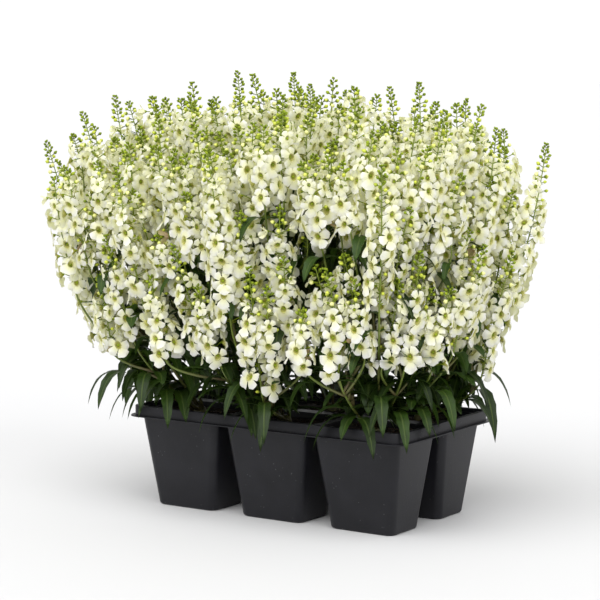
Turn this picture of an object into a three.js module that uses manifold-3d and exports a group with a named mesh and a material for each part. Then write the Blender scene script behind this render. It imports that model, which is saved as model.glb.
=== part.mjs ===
// A six-cell bedding pack of white summer snapdragon (Angelonia).
// One thin black formed pack holds six soil plugs. Each plug carries one bushy plant, whose
// stems end in upright spikes: open white florets below, a spire of green buds on top.
// Units are millimetres, +Z is up. The pack's three cells run along X, its two rows along Y.
import * as THREE from "three";
import Module from "manifold-3d";

const wasm = await Module();
wasm.setup();

// Cell pack
const CELL_PITCH_X = 89;
const CELL_PITCH_Y = 76;
const CELL_TOP_X = 81.5;
const CELL_TOP_Y = 64;
const CELL_TAPER = 10.1; // each wall comes in this far from the rim's foot down to the floor
const TAPER_HEIGHT = 79;
const CELL_CORNER = 7;
const CORNER_STEPS = 2;
const SHEET = 0.9;
const RIM_X = 271.5;
const RIM_Y = 150;
const RIM_CORNER = 9;
const RIM_TOP = 88;
const RIM_FOOT = 79;
const DECK_TOP = 84.5;
const RIM_WIDTH = 3.4;
const BASIN_CORNER = 6; // the deck's corners inside the rim
const FLANGE = 3.8;
const DRAIN_RADIUS = 5;
const DRAIN_SIDES = 6;

// Soil and crowns
const GAP = 0.4; // left between neighbours that touch
const SOIL_LEVEL = 80;
const SOIL_RELIEF = 1.3;
const SOIL_SHOULDER = 13; // from the plug's edge in to the ridge of its clods
const CROWN_HOLE_RADIUS = 7;
const CROWN_RADIUS = 6.5;
const CROWN_DEPTH = 22;
const CROWN_RISE = 5;
const CROWN_SIDES = 6;
const CROWN_TOP_RADIUS = 5.4;
const STEM_FEET_RADIUS = 3.9;
const STEM_FEET_DEPTH = 3; // below the crown's top

// Shoots: the crest's spikes fill an oval over the pack, and a skirt of shorter ones stands
// round them. They start out as seeds do in a sunflower, turned by a phase, then settle until
// none crowds another.
const SEED = 20;
const OVAL_POWER = 2.4;
const GOLDEN_ANGLE = Math.PI * (3 - Math.sqrt(5));
const CREST = {
  count: 30,
  semiX: 230,
  semiY: 150,
  tip: 366,
  fall: 58,
  waist: 0.82,
  spacing: 59,
  phase: 0,
};
const CREST_SPIKE = { length: 166, shorter: 14, florets: 8 };
const SKIRT = {
  count: 15,
  semiX: 202,
  semiY: 132,
  tip: 232,
  fall: 0,
  waist: 0.9,
  spacing: 62,
  phase: 0.2,
};
const SKIRT_SPIKE = { length: 116, shorter: 0, florets: 6 };
const CREST_TO_SKIRT = 42;
const SETTLING_ROUNDS = 60;
const SETTLING_STEP = 0.25; // of what two spikes lack in distance
const MOUND_SHIFT = [-19, -6]; // the mound leans this far off the pack's middle
const HEIGHT_JITTER = 13;
const PLACE_JITTER = 4;
const SHOOTS_PER_PLANT = [8, 8, 7, 8, 6, 8]; // the front row from the left, then the back row
const LEAN_SHARE = 0.54; // a spike's lean, as a share of its whole shoot's lean
const STEM_BEND = 0.4; // how far below its spike a stem bends, as a share of the stem's height
const BUD_SPIRE = 31;
const STEM_RADIUS = 1.7;
const RACHIS_RADIUS = 1.35;
const STEM_SIDES = 3;
const STEM_TOP = 0.84; // the last station of the stem's curve, below the straight rachis
const STEM_POSTS = 6; // points that stand for a stem where distances to it are worked out
const CREST_LEAF_NODES = [0.38]; // stations of the leaves along a stem's curve
const SKIRT_LEAF_NODES = [0.38, 0.7];
const INNER_SHARE = 0.7; // shoots further in than this carry one leaf at a node, others two

// Spikes
const CORE_RADIUS = 7;
const CORE_TURN = 9; // degrees that the core turns from one floret to the next
const CORE_THINNING = 0.25; // what core and florets lose of their size towards the buds
const BORE_RADIUS = 2.1;
const FLORET_CLEARANCE = 0.9;
const BUD_CLEARANCE = 2;
const STEM_CLEARANCE = 1.5;
const FLORET_RADIUS = 17; // larger than life, so that a few florets cover the mound
const FLORET_REACH = 17;
const FLORET_CURL = 3.6;
const FLORET_CUP = 3.4;
const FLORET_TILT = 0.16; // the most that a floret nods or looks up, as a slope
// Petal tips and the notches between them: degrees from the top, and the share of the radius
const FLORET_OUTLINE = [
  [0, 0.46],
  [38, 0.94],
  [100, 1.04],
  [142, 0.54],
  [180, 1.18],
  [218, 0.54],
  [260, 1.04],
  [322, 0.94],
];
// Sizes that a floret is tried at until it opens clear
const FLORET_SCALES = [1, 0.94, 0.88, 0.82, 0.76, 0.7, 0.64, 0.58, 0.52, 0.46, 0.4];
const BUD_LEVELS = 3;
const BUD_REACH = 6.4;
const BUD_BULGE = 1.9;
const BUD_BULGE_AT = 0.55; // of the way from the stalk out to the bud's tip
const BUD_UPTURN = 2.5;
const BUD_SHRINKING = 0.5;
const RACHIS_THINNING = 0.35;

// Leaves
const LEAF_LENGTH = 50;
const LEAF_HALF_WIDTH = 6.8;
const LEAF_KEEL = 1.4;
const LEAF_BAND = 3.2;
const LEAF_RISE = 0.45; // slope at which a leaf leaves its stem
const LEAF_PULL = 0.3; // what drooping takes from a leaf's reach
// Sizes, droops and sideways turns in degrees that a leaf is tried at until it hangs clear
const LEAF_SIZES = [1, 0.85, 0.7];
const LEAF_DROOPS = [1, 1.25, 0.8];
const LEAF_TURNS = [0, 28, -28, 50, -50];
// Stations along a blade: share of the length, then the left and right half widths. Each edge
// goes in and out by turns, which toothes it.
const LEAF_STATIONS = [
  [0.2, 0.8, 0.5],
  [0.4, 0.72, 1],
  [0.6, 0.98, 0.66],
  [0.8, 0.46, 0.66],
];

const UP = new THREE.Vector3(0, 0, 1);

// Random draws

function randomFrom(seed) {
  let state = seed >>> 0;
  return () => {
    state = (Math.imul(1664525, state) + 1013904223) >>> 0;
    return state / 4294967296;
  };
}

const spread = (draw, size) => (draw() * 2 - 1) * size;

// Closed bodies from rings of points, with growths raised from single faces

class Body {
  constructor() {
    this.points = [];
    this.faces = [];
  }

  ring(points) {
    const first = this.points.length;
    this.points.push(...points);
    return points.map((_, i) => first + i);
  }

  // Faces between two rings of equal count.
  wall(low, high) {
    low.forEach((_, i) => {
      const j = (i + 1) % low.length;
      this.faces.push([low[i], low[j], high[i]], [low[j], high[j], high[i]]);
    });
  }

  fan(ring, apex) {
    const n = ring.length;
    for (let i = 0; i < n; i++) this.faces.push([ring[i], ring[(i + 1) % n], apex]);
  }

  lid(ring) {
    for (let i = 1; i + 1 < ring.length; i++) this.faces.push([ring[0], ring[i], ring[i + 1]]);
  }

  // Faces between a ring and another of any count, both turning the same way seen from outside.
  skirt(base, rim) {
    let best = 0;
    rim.forEach((r, k) => {
      if (this.far(base[0], r) < this.far(base[0], rim[best])) best = k;
    });
    const outer = rim.map((_, k) => rim[(k + best) % rim.length]);
    let i = 0;
    let k = 0;
    while (i < base.length || k < outer.length) {
      const b = base[i % base.length];
      const nextB = base[(i + 1) % base.length];
      const r = outer[k % outer.length];
      const nextR = outer[(k + 1) % outer.length];
      const turnBase =
        k >= outer.length || (i < base.length && this.far(nextB, r) < this.far(b, nextR));
      if (turnBase) {
        this.faces.push([b, nextB, r]);
        i++;
      } else {
        this.faces.push([b, nextR, r]);
        k++;
      }
    }
  }

  far(a, b) {
    return this.points[a].distanceTo(this.points[b]);
  }

  // Raises a growth in place of a face: rings of as many points, then a tip.
  grow(face, rings, tip) {
    let base = face;
    for (const points of rings) {
      const next = this.ring(points);
      this.wall(base, next);
      base = next;
    }
    this.fan(base, this.ring([tip])[0]);
  }

  solid() {
    const vertProperties = new Float32Array(this.points.flatMap((p) => [p.x, p.y, p.z]));
    const triVerts = new Uint32Array(this.faces.flat());
    return new wasm.Manifold(new wasm.Mesh({ numProp: 3, vertProperties, triVerts }));
  }
}

function geometryOf(solid) {
  const mesh = solid.getMesh();
  const positions = new Float32Array(mesh.numVert * 3);
  for (let i = 0; i < mesh.numVert; i++) {
    positions.set(mesh.vertProperties.subarray(i * mesh.numProp, i * mesh.numProp + 3), i * 3);
  }
  return new THREE.BufferGeometry()
    .setAttribute("position", new THREE.BufferAttribute(positions, 3))
    .setIndex(new THREE.BufferAttribute(mesh.triVerts, 1));
}

function union(solids) {
  return solids.reduce((all, next) => all.add(next));
}

// A rectangle with rounded corners as a ring of points at one height.
function roundedRing(cx, cy, sizeX, sizeY, radius, z) {
  const points = [];
  [[1, 1, 0], [-1, 1, 90], [-1, -1, 180], [1, -1, 270]].forEach(([sx, sy, from]) => {
    for (let s = 0; s <= CORNER_STEPS; s++) {
      const turn = THREE.MathUtils.degToRad(from + (90 * s) / CORNER_STEPS);
      points.push(
        new THREE.Vector3(
          cx + sx * (sizeX / 2 - radius) + radius * Math.cos(turn),
          cy + sy * (sizeY / 2 - radius) + radius * Math.sin(turn),
          z,
        ),
      );
    }
  });
  return points;
}

function prism(rings) {
  const body = new Body();
  const placed = rings.map((points) => body.ring(points));
  for (let i = 0; i + 1 < placed.length; i++) body.wall(placed[i], placed[i + 1]);
  body.lid(placed[placed.length - 1]);
  body.lid([...placed[0]].reverse());
  return body.solid();
}

function roundPrism(cx, cy, stations, sides) {
  return prism(
    stations.map(([z, radius]) =>
      Array.from({ length: sides }, (_, k) => {
        const turn = (2 * Math.PI * k) / sides;
        return new THREE.Vector3(cx + radius * Math.cos(turn), cy + radius * Math.sin(turn), z);
      }),
    ),
  );
}

// The pack

function cellCentres() {
  const centres = [];
  for (const row of [-0.5, 0.5]) {
    for (const column of [-1, 0, 1]) {
      centres.push(new THREE.Vector2(column * CELL_PITCH_X, row * CELL_PITCH_Y));
    }
  }
  return centres;
}

// A tapered cell's outline at one height, its walls moved in by an inset.
function cellRing(centre, inset, z) {
  const taken = CELL_TAPER * (1 - z / TAPER_HEIGHT) + inset;
  const sizeX = CELL_TOP_X - 2 * taken;
  const sizeY = CELL_TOP_Y - 2 * taken;
  return roundedRing(centre.x, centre.y, sizeX, sizeY, CELL_CORNER - Math.min(inset / 2, 2), z);
}

const cellBlock = (centre, inset, low, high) =>
  prism([cellRing(centre, inset, low), cellRing(centre, inset, high)]);

function slab(sizeX, sizeY, radius, low, high) {
  return prism([
    roundedRing(0, 0, sizeX, sizeY, radius, low),
    roundedRing(0, 0, sizeX, sizeY, radius, high),
  ]);
}

function cellPack() {
  const centres = cellCentres();
  const basinX = RIM_X - 2 * RIM_WIDTH;
  const basinY = RIM_Y - 2 * RIM_WIDTH;
  const blocks = union(centres.map((c) => cellBlock(c, 0, 0, DECK_TOP)));
  const rim = slab(RIM_X, RIM_Y, RIM_CORNER, RIM_FOOT, RIM_TOP);
  const flange = slab(
    RIM_X + 2 * FLANGE,
    RIM_Y + 2 * FLANGE,
    RIM_CORNER + FLANGE,
    RIM_FOOT - SHEET / 2,
    RIM_FOOT + SHEET / 2,
  );
  const basin = slab(basinX, basinY, BASIN_CORNER, DECK_TOP, RIM_TOP + 1);
  const basinSkin = slab(
    basinX + 2 * SHEET,
    basinY + 2 * SHEET,
    BASIN_CORNER + SHEET,
    DECK_TOP - SHEET,
    RIM_TOP + 1,
  );
  const under = slab(RIM_X - 2 * SHEET, RIM_Y - 2 * SHEET, RIM_CORNER - SHEET, -1, RIM_TOP - SHEET)
    .subtract(blocks)
    .subtract(basinSkin);
  const cavities = union(centres.map((c) => cellBlock(c, SHEET, SHEET, RIM_TOP + 1)));
  const drains = union(
    centres.map((c) =>
      roundPrism(c.x, c.y, [[-1, DRAIN_RADIUS], [SHEET + 1, DRAIN_RADIUS]], DRAIN_SIDES),
    ),
  );
  return rim
    .add(flange)
    .add(blocks)
    .subtract(basin)
    .subtract(under)
    .subtract(cavities)
    .subtract(drains);
}

// Soil plugs, lumpy on top, each with a plain hole for its plant's crown

function soilPlug(centre, cell) {
  const draw = randomFrom(SEED + cell);
  const inset = SHEET + GAP;
  const floor = SHEET + GAP;
  const wall = (z, drop) => cellRing(centre, inset + drop, z);
  const clods = (ring) => ring.map((p) => p.setZ(p.z + spread(draw, SOIL_RELIEF)));
  const hole = (z) =>
    Array.from({ length: CROWN_SIDES }, (_, k) => {
      const turn = (2 * Math.PI * k) / CROWN_SIDES;
      return new THREE.Vector3(
        centre.x + CROWN_HOLE_RADIUS * Math.cos(turn),
        centre.y + CROWN_HOLE_RADIUS * Math.sin(turn),
        z,
      );
    });
  const body = new Body();
  const rings = [
    wall(floor, 0),
    clods(wall(SOIL_LEVEL - SOIL_RELIEF, 0)),
    clods(wall(SOIL_LEVEL, SOIL_SHOULDER)),
  ].map((points) => body.ring(points));
  const mouth = body.ring(hole(SOIL_LEVEL));
  const bottom = body.ring(hole(SOIL_LEVEL - CROWN_DEPTH - GAP));
  body.lid([...rings[0]].reverse());
  body.wall(rings[0], rings[1]);
  body.wall(rings[1], rings[2]);
  body.skirt(rings[2], mouth);
  body.wall(mouth, bottom);
  body.lid(bottom);
  return body.solid();
}

// Shoots: where each stem starts, bends and ends

// How far out a place lies in its oval: 1 on the edge
function ovalShare(place, { semiX, semiY }) {
  const sum = Math.abs(place.x / semiX) ** OVAL_POWER + Math.abs(place.y / semiY) ** OVAL_POWER;
  return sum ** (1 / OVAL_POWER);
}

function sunflowerPlaces(oval, share) {
  return Array.from({ length: oval.count }, (_, k) => {
    const turn = oval.phase + GOLDEN_ANGLE * k;
    const reach = share(k);
    return new THREE.Vector2(oval.semiX * reach * Math.cos(turn), oval.semiY * reach * Math.sin(turn));
  });
}

// Spikes push their neighbours away, measured at the mound's waist; the skirt keeps to its edge.
function settle(spikes) {
  const apart = new THREE.Vector2();
  for (let round = 0; round < SETTLING_ROUNDS; round++) {
    spikes.forEach((one, i) => {
      for (const two of spikes.slice(i + 1)) {
        const wanted = one.oval === two.oval ? one.oval.spacing : CREST_TO_SKIRT;
        apart.copy(two.place).multiplyScalar(two.oval.waist);
        apart.addScaledVector(one.place, -one.oval.waist);
        apart.setLength(Math.max(0, wanted - apart.length()) * SETTLING_STEP);
        one.place.sub(apart);
        two.place.add(apart);
      }
    });
    for (const { place, oval } of spikes) {
      const share = ovalShare(place, oval);
      if (share > 1 || oval === SKIRT) place.divideScalar(share);
    }
  }
}

function layOutSpikes(draw) {
  const crest = sunflowerPlaces(CREST, (k) => Math.sqrt((k + 0.5) / CREST.count));
  const skirt = sunflowerPlaces(SKIRT, () => 1);
  const spikes = [
    ...crest.map((place) => ({ place, oval: CREST, ...CREST_SPIKE })),
    ...skirt.map((place) => ({ place, oval: SKIRT, ...SKIRT_SPIKE })),
  ];
  settle(spikes);
  for (const spike of spikes) {
    const { place, oval } = spike;
    const share = ovalShare(place, oval);
    spike.tip = new THREE.Vector3(
      place.x + MOUND_SHIFT[0] + spread(draw, PLACE_JITTER),
      place.y + MOUND_SHIFT[1] + spread(draw, PLACE_JITTER),
      oval.tip - oval.fall * share ** 3 + spread(draw, HEIGHT_JITTER),
    );
    spike.twist = draw() * 2 * Math.PI;
    spike.length -= spike.shorter * share;
    spike.leafNodes = oval === SKIRT ? SKIRT_LEAF_NODES : CREST_LEAF_NODES;
    spike.leavesPerNode = share < INNER_SHARE ? 1 : 2;
  }
  return spikes;
}

// Gives each spike to the nearest plant that still has room, outermost spikes first.
function assignToPlants(spikes, centres) {
  const room = [...SHOOTS_PER_PLANT];
  for (const spike of [...spikes].sort((a, b) => b.place.length() - a.place.length())) {
    const far = centres.map((c) => Math.hypot(spike.tip.x - c.x, spike.tip.y - c.y));
    spike.cell = [...centres.keys()].filter((k) => room[k]).sort((a, b) => far[a] - far[b])[0];
    room[spike.cell]--;
  }
}

// Shoots run from feet set evenly round their crown, in the order of their tips' bearings.
function layOutShoots(centres) {
  const spikes = layOutSpikes(randomFrom(SEED));
  assignToPlants(spikes, centres);
  return centres.flatMap((centre, cell) => {
    const bearing = ({ tip }) => Math.atan2(tip.y - centre.y, tip.x - centre.x);
    const own = spikes.filter((spike) => spike.cell === cell);
    own.sort((a, b) => bearing(a) - bearing(b));
    return own.map((spike, k) => {
      const turn = bearing(own[0]) + (2 * Math.PI * k) / own.length;
      const foot = new THREE.Vector3(
        centre.x + STEM_FEET_RADIUS * Math.cos(turn),
        centre.y + STEM_FEET_RADIUS * Math.sin(turn),
        SOIL_LEVEL + CROWN_RISE - STEM_FEET_DEPTH,
      );
      return shootFrom(foot, spike);
    });
  });
}

function shootFrom(foot, spike) {
  const { tip, length } = spike;
  const out = new THREE.Vector3(tip.x - foot.x, tip.y - foot.y, 0);
  const lean = Math.atan2(out.length(), tip.z - foot.z) * LEAN_SHARE;
  const axis = out.normalize().multiplyScalar(Math.sin(lean)).addScaledVector(UP, Math.cos(lean));
  const base = tip.clone().addScaledVector(axis, -length);
  const bend = base.clone().addScaledVector(axis, (-STEM_BEND * (base.z - foot.z)) / axis.z);
  const stem = new THREE.QuadraticBezierCurve3(foot, bend, base);
  const budsFrom = tip.clone().addScaledVector(axis, -BUD_SPIRE);
  return { ...spike, base, axis, stem, budsFrom };
}

// Directions across an axis by the angle round it, starting from a twist.
function acrossAxis(axis, twist) {
  const side = new THREE.Vector3().crossVectors(axis, new THREE.Vector3(0, 1, 0)).normalize();
  const other = new THREE.Vector3().crossVectors(axis, side);
  return (turn) =>
    side
      .clone()
      .multiplyScalar(Math.cos(turn + twist))
      .addScaledVector(other, Math.sin(turn + twist));
}

function ringAround(centre, across, radius, turn) {
  return Array.from({ length: STEM_SIDES }, (_, i) =>
    centre.clone().addScaledVector(across(turn + (2 * Math.PI * i) / STEM_SIDES), radius),
  );
}

// Distances from a point to a shoot's flowering stretch, its bud spire and its stem

const segment = new THREE.Line3();
const nearest = new THREE.Vector3();

function distanceToSegment(point, start, end) {
  segment.set(start, end).closestPointToPoint(point, true, nearest);
  return nearest.distanceTo(point);
}

function distanceToStem(point, shoot) {
  const posts = shoot.stem.getPoints(STEM_POSTS);
  return Math.min(...posts.slice(1).map((post, i) => distanceToSegment(point, posts[i], post)));
}

// A point of one spike is clear where it lies nearer to its own axis than to any other, and
// away from buds and stems.
function isClear(point, own, shoots) {
  const mine = distanceToSegment(point, own.base, own.budsFrom);
  return shoots.every(
    (other) =>
      (other === own ||
        distanceToSegment(point, other.base, other.budsFrom) > mine + FLORET_CLEARANCE) &&
      distanceToSegment(point, other.budsFrom, other.tip) > BUD_REACH + BUD_CLEARANCE &&
      distanceToStem(point, other) > STEM_RADIUS + STEM_CLEARANCE,
  );
}

// White spikes: a slim bored core with one floret raised from a face at each level

function floretPoints(shoot, foot, out, size) {
  const side = new THREE.Vector3().crossVectors(shoot.axis, out);
  const heart = foot.clone().addScaledVector(out, FLORET_REACH * size);
  const outline = FLORET_OUTLINE.map(([degrees, share]) => {
    const turn = THREE.MathUtils.degToRad(degrees);
    const reach = FLORET_RADIUS * size * share;
    return heart
      .clone()
      .addScaledVector(shoot.axis, reach * Math.cos(turn))
      .addScaledVector(side, -reach * Math.sin(turn))
      .addScaledVector(out, -FLORET_CURL * size * share * share);
  });
  return { outline, throat: heart.addScaledVector(out, -FLORET_CUP * size) };
}

function spikeBody(shoot, shoots, draw) {
  const body = new Body();
  const bloomLength = shoot.base.distanceTo(shoot.budsFrom);
  const across = acrossAxis(shoot.axis, shoot.twist);
  const at = (along) => shoot.base.clone().addScaledVector(shoot.axis, along);
  const turnAt = (level) => THREE.MathUtils.degToRad(CORE_TURN) * level;
  const thinnedAt = (level) => 1 - CORE_THINNING * (level / shoot.florets) ** 2;
  const rings = Array.from({ length: shoot.florets + 1 }, (_, level) => {
    const along = (bloomLength * level) / shoot.florets;
    const radius = CORE_RADIUS * thinnedAt(level);
    return body.ring(ringAround(at(along), across, radius, turnAt(level)));
  });
  rings.slice(1).forEach((high, level) => {
    const low = rings[level];
    const bearing = level % STEM_SIDES;
    for (let i = 0; i < STEM_SIDES; i++) {
      const j = (i + 1) % STEM_SIDES;
      const face = [low[i], low[j], high[j], high[i]];
      const out = across(turnAt(level + 0.5) + (2 * Math.PI * (i + 0.5)) / STEM_SIDES);
      const tilt = shoot.axis.clone().multiplyScalar(spread(draw, FLORET_TILT));
      const foot = at((bloomLength * (level + 0.5)) / shoot.florets);
      const scales = i === bearing ? FLORET_SCALES : [];
      const facing = tilt.add(out).normalize();
      const petals = scales
        .map((scale) => floretPoints(shoot, foot, facing, scale * thinnedAt(level)))
        .find(({ outline }) => outline.every((point) => isClear(point, shoot, shoots)));
      if (petals) {
        const outline = body.ring(petals.outline);
        body.skirt(face, outline);
        body.fan(outline, body.ring([petals.throat])[0]);
      } else {
        body.lid(face);
      }
    }
  });
  const boreLow = body.ring(ringAround(at(0), across, BORE_RADIUS, 0));
  const boreHigh = body.ring(ringAround(at(bloomLength), across, BORE_RADIUS, 0));
  body.skirt([...rings[0]].reverse(), [...boreLow].reverse());
  body.wall(boreHigh, boreLow);
  body.skirt(rings[rings.length - 1], boreHigh);
  return body.solid();
}

// Leaves

function leafRings(foot, out, droop, size) {
  const heading = new THREE.Vector3(out.x, out.y, 0).normalize();
  const side = new THREE.Vector3().crossVectors(UP, heading);
  const length = LEAF_LENGTH * size;
  const midribAt = (share) =>
    foot
      .clone()
      .addScaledVector(heading, length * share * (1 - LEAF_PULL * droop * share))
      .addScaledVector(UP, length * share * (LEAF_RISE - droop * share));
  const rings = LEAF_STATIONS.map(([share, left, right]) => {
    const middle = midribAt(share);
    const width = LEAF_HALF_WIDTH * size;
    return [
      middle.clone().addScaledVector(UP, -LEAF_KEEL),
      middle.clone().addScaledVector(side, width * right),
      middle.clone().addScaledVector(side, -width * left),
    ];
  });
  return { rings, tip: midribAt(1) };
}

function leafSolid({ rings, tip }) {
  const body = new Body();
  const placed = rings.map((points) => body.ring(points));
  for (let i = 0; i + 1 < placed.length; i++) body.wall(placed[i], placed[i + 1]);
  body.lid([...placed[0]].reverse());
  body.fan(placed[placed.length - 1], body.ring([tip])[0]);
  return body.solid();
}

// Green shoots: stem, leaves and a spire of buds in one closed body

// The outward direction of a band's face, between corners i and i + 1.
function faceOut(body, low, high, i) {
  const corners = [low[i], low[(i + 1) % low.length], high[i]].map((k) => body.points[k]);
  const out = new THREE.Vector3();
  new THREE.Triangle(...corners).getNormal(out);
  return out;
}

// Raises a node's leaves, most outward first, each at the droop and size that let it hang clear.
// Returns the numbers of the faces that they took.
function growLeaves(body, low, high, shoot, obstacles, leaves) {
  const outward = new THREE.Vector3(shoot.tip.x, shoot.tip.y, 0);
  const faces = [0, 1, 2].sort(
    (a, b) => faceOut(body, low, high, b).dot(outward) - faceOut(body, low, high, a).dot(outward),
  );
  const taken = [];
  for (const i of faces) {
    const j = (i + 1) % low.length;
    const face = [low[j], high[j], high[i]];
    const corners = face.map((k) => body.points[k]);
    const leaf = findClearLeaf(corners, faceOut(body, low, high, i), obstacles, leaves);
    if (!leaf) continue;
    leaves.push(leaf.solid);
    body.grow(face, leaf.rings, leaf.tip);
    taken.push(i);
    if (taken.length === shoot.leavesPerNode) break;
  }
  return taken;
}

function findClearLeaf(corners, out, obstacles, leaves) {
  const foot = corners[0].clone().add(corners[2]).multiplyScalar(0.5);
  const hangsClear = (solid, others) => others.every((other) => solid.intersect(other).isEmpty());
  for (const size of LEAF_SIZES) {
    for (const droop of LEAF_DROOPS) {
      for (const turn of LEAF_TURNS) {
        const heading = out.clone().applyAxisAngle(UP, THREE.MathUtils.degToRad(turn));
        const leaf = leafRings(foot, heading, droop, size);
        const solid = leafSolid(leaf);
        const footed = leafSolid({ rings: [corners, ...leaf.rings], tip: leaf.tip });
        if (hangsClear(footed, obstacles) && hangsClear(solid, leaves)) return { ...leaf, solid };
      }
    }
  }
  return null;
}

// Raises two buds from the faces of one level of the spire; the lowest are swollen.
function growBuds(body, low, high, shoot, level) {
  const size = 1 - (BUD_SHRINKING * level) / BUD_LEVELS;
  const faces = level % 2 ? [0, 1] : [2, 0];
  for (const i of faces) {
    const j = (i + 1) % low.length;
    const face = [low[j], high[j], high[i]];
    const heart = new THREE.Vector3();
    for (const k of face) heart.addScaledVector(body.points[k], 1 / 3);
    const out = faceOut(body, low, high, i);
    const bulge = heart
      .clone()
      .addScaledVector(out, BUD_REACH * BUD_BULGE_AT * size)
      .addScaledVector(shoot.axis, size);
    const swollen = face.map((k) =>
      bulge.clone().addScaledVector(body.points[k].clone().sub(heart).normalize(), BUD_BULGE * size),
    );
    const tip = heart
      .addScaledVector(out, BUD_REACH * size)
      .addScaledVector(shoot.axis, BUD_UPTURN * size);
    body.grow(face, level === 0 ? [swollen] : [], tip);
  }
  return faces;
}

function stemBody(shoot, obstacles, leaves) {
  const body = new Body();
  const leafBand = LEAF_BAND / shoot.stem.getLength();
  const { leafNodes } = shoot;
  const shares = [0, ...leafNodes.flatMap((share) => [share, share + leafBand]), STEM_TOP];
  const rings = shares.map((share) => {
    const across = acrossAxis(shoot.stem.getTangent(share), shoot.twist);
    return body.ring(ringAround(shoot.stem.getPoint(share), across, STEM_RADIUS, 0));
  });
  const across = acrossAxis(shoot.axis, shoot.twist);
  const rachisRing = (along, radius) => {
    const centre = shoot.base.clone().addScaledVector(shoot.axis, along);
    return body.ring(ringAround(centre, across, radius, 0));
  };
  const bloomLength = shoot.base.distanceTo(shoot.budsFrom);
  const budStep = (BUD_SPIRE - GAP) / (BUD_LEVELS + 1);
  rings.push(rachisRing(-2 * GAP, RACHIS_RADIUS));
  for (let level = 0; level <= BUD_LEVELS; level++) {
    const radius = RACHIS_RADIUS * (1 - (RACHIS_THINNING * level) / BUD_LEVELS);
    rings.push(rachisRing(bloomLength + GAP + budStep * level, radius));
  }
  body.lid([...rings[0]].reverse());
  rings.slice(1).forEach((high, k) => {
    const low = rings[k];
    const budLevel = k - shares.length - 1;
    let grown = [];
    if (obstacles && leafNodes.includes(shares[k])) {
      grown = growLeaves(body, low, high, shoot, obstacles, leaves);
    }
    if (budLevel >= 0) grown = growBuds(body, low, high, shoot, budLevel);
    for (let i = 0; i < STEM_SIDES; i++) {
      const j = (i + 1) % STEM_SIDES;
      body.faces.push([low[i], low[j], high[i]]);
      if (!grown.includes(i)) body.faces.push([low[j], high[j], high[i]]);
    }
  });
  body.fan(rings[rings.length - 1], body.ring([shoot.tip])[0]);
  return body.solid();
}

// The crown that a plant's stems spring from, set in its hole in the soil
function crownBody(centre) {
  return roundPrism(
    centre.x,
    centre.y,
    [
      [SOIL_LEVEL - CROWN_DEPTH, CROWN_RADIUS],
      [SOIL_LEVEL, CROWN_RADIUS],
      [SOIL_LEVEL + CROWN_RISE, CROWN_TOP_RADIUS],
    ],
    CROWN_SIDES,
  );
}

// Finishes

const finish = (color, roughness) => new THREE.MeshStandardMaterial({ color, roughness });
const FINISHES = {
  pack: finish(0x24262a, 0.42),
  soil: finish(0x2b2019, 0.95),
  green: finish(0x3f6b27, 0.6),
  petals: finish(0xf4f4e4, 0.7),
};

// Assembly

const CELL_NAMES = [
  "front_left",
  "front_middle",
  "front_right",
  "back_left",
  "back_middle",
  "back_right",
];

function part(name, solid, material) {
  const mesh = new THREE.Mesh(geometryOf(solid), material);
  mesh.name = name;
  return mesh;
}

function pottedSnapdragon() {
  const object = new THREE.Group();
  const centres = cellCentres();
  const shoots = layOutShoots(centres);
  const pack = cellPack();
  const soils = centres.map(soilPlug);
  object.add(part("cell_pack", pack, FINISHES.pack));
  soils.forEach((soil, cell) => object.add(part(`soil_${CELL_NAMES[cell]}`, soil, FINISHES.soil)));

  const draw = randomFrom(SEED + 1);
  const spikes = shoots.map((shoot) => spikeBody(shoot, shoots, draw));
  const bareStems = shoots.map((shoot) => stemBody(shoot, null));
  const leaves = [];
  centres.forEach((centre, cell) => {
    const own = shoots.filter((shoot) => shoot.cell === cell);
    const stems = own.map((shoot) => {
      const others = bareStems.filter((_, k) => shoots[k] !== shoot);
      return stemBody(shoot, [pack, ...soils, ...spikes, ...others], leaves);
    });
    const plant = union([crownBody(centre), ...stems]);
    object.add(part(`plant_${CELL_NAMES[cell]}`, plant, FINISHES.green));
    own.forEach((shoot, k) => {
      const spike = spikes[shoots.indexOf(shoot)];
      object.add(part(`flowers_${CELL_NAMES[cell]}_${k + 1}`, spike, FINISHES.petals));
    });
  });

  const box = new THREE.Box3().setFromObject(object);
  const middle = box.getCenter(new THREE.Vector3());
  object.position.set(-middle.x, -middle.y, 0);
  return object;
}

export default pottedSnapdragon();
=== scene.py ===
"""White summer snapdragon in a black six-cell bedding pack: its looks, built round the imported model.

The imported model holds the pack, six soil plugs, six plants and their flower spikes. Each of these
is replaced here by a finer piece of the same form, and shorter side spikes fill the mound between
them. Lengths are metres, +Z is up, and +X runs along the pack's three cells.
"""

import logging
import math
from dataclasses import dataclass, field
from enum import Enum, IntEnum
from typing import Mapping, Sequence

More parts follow.
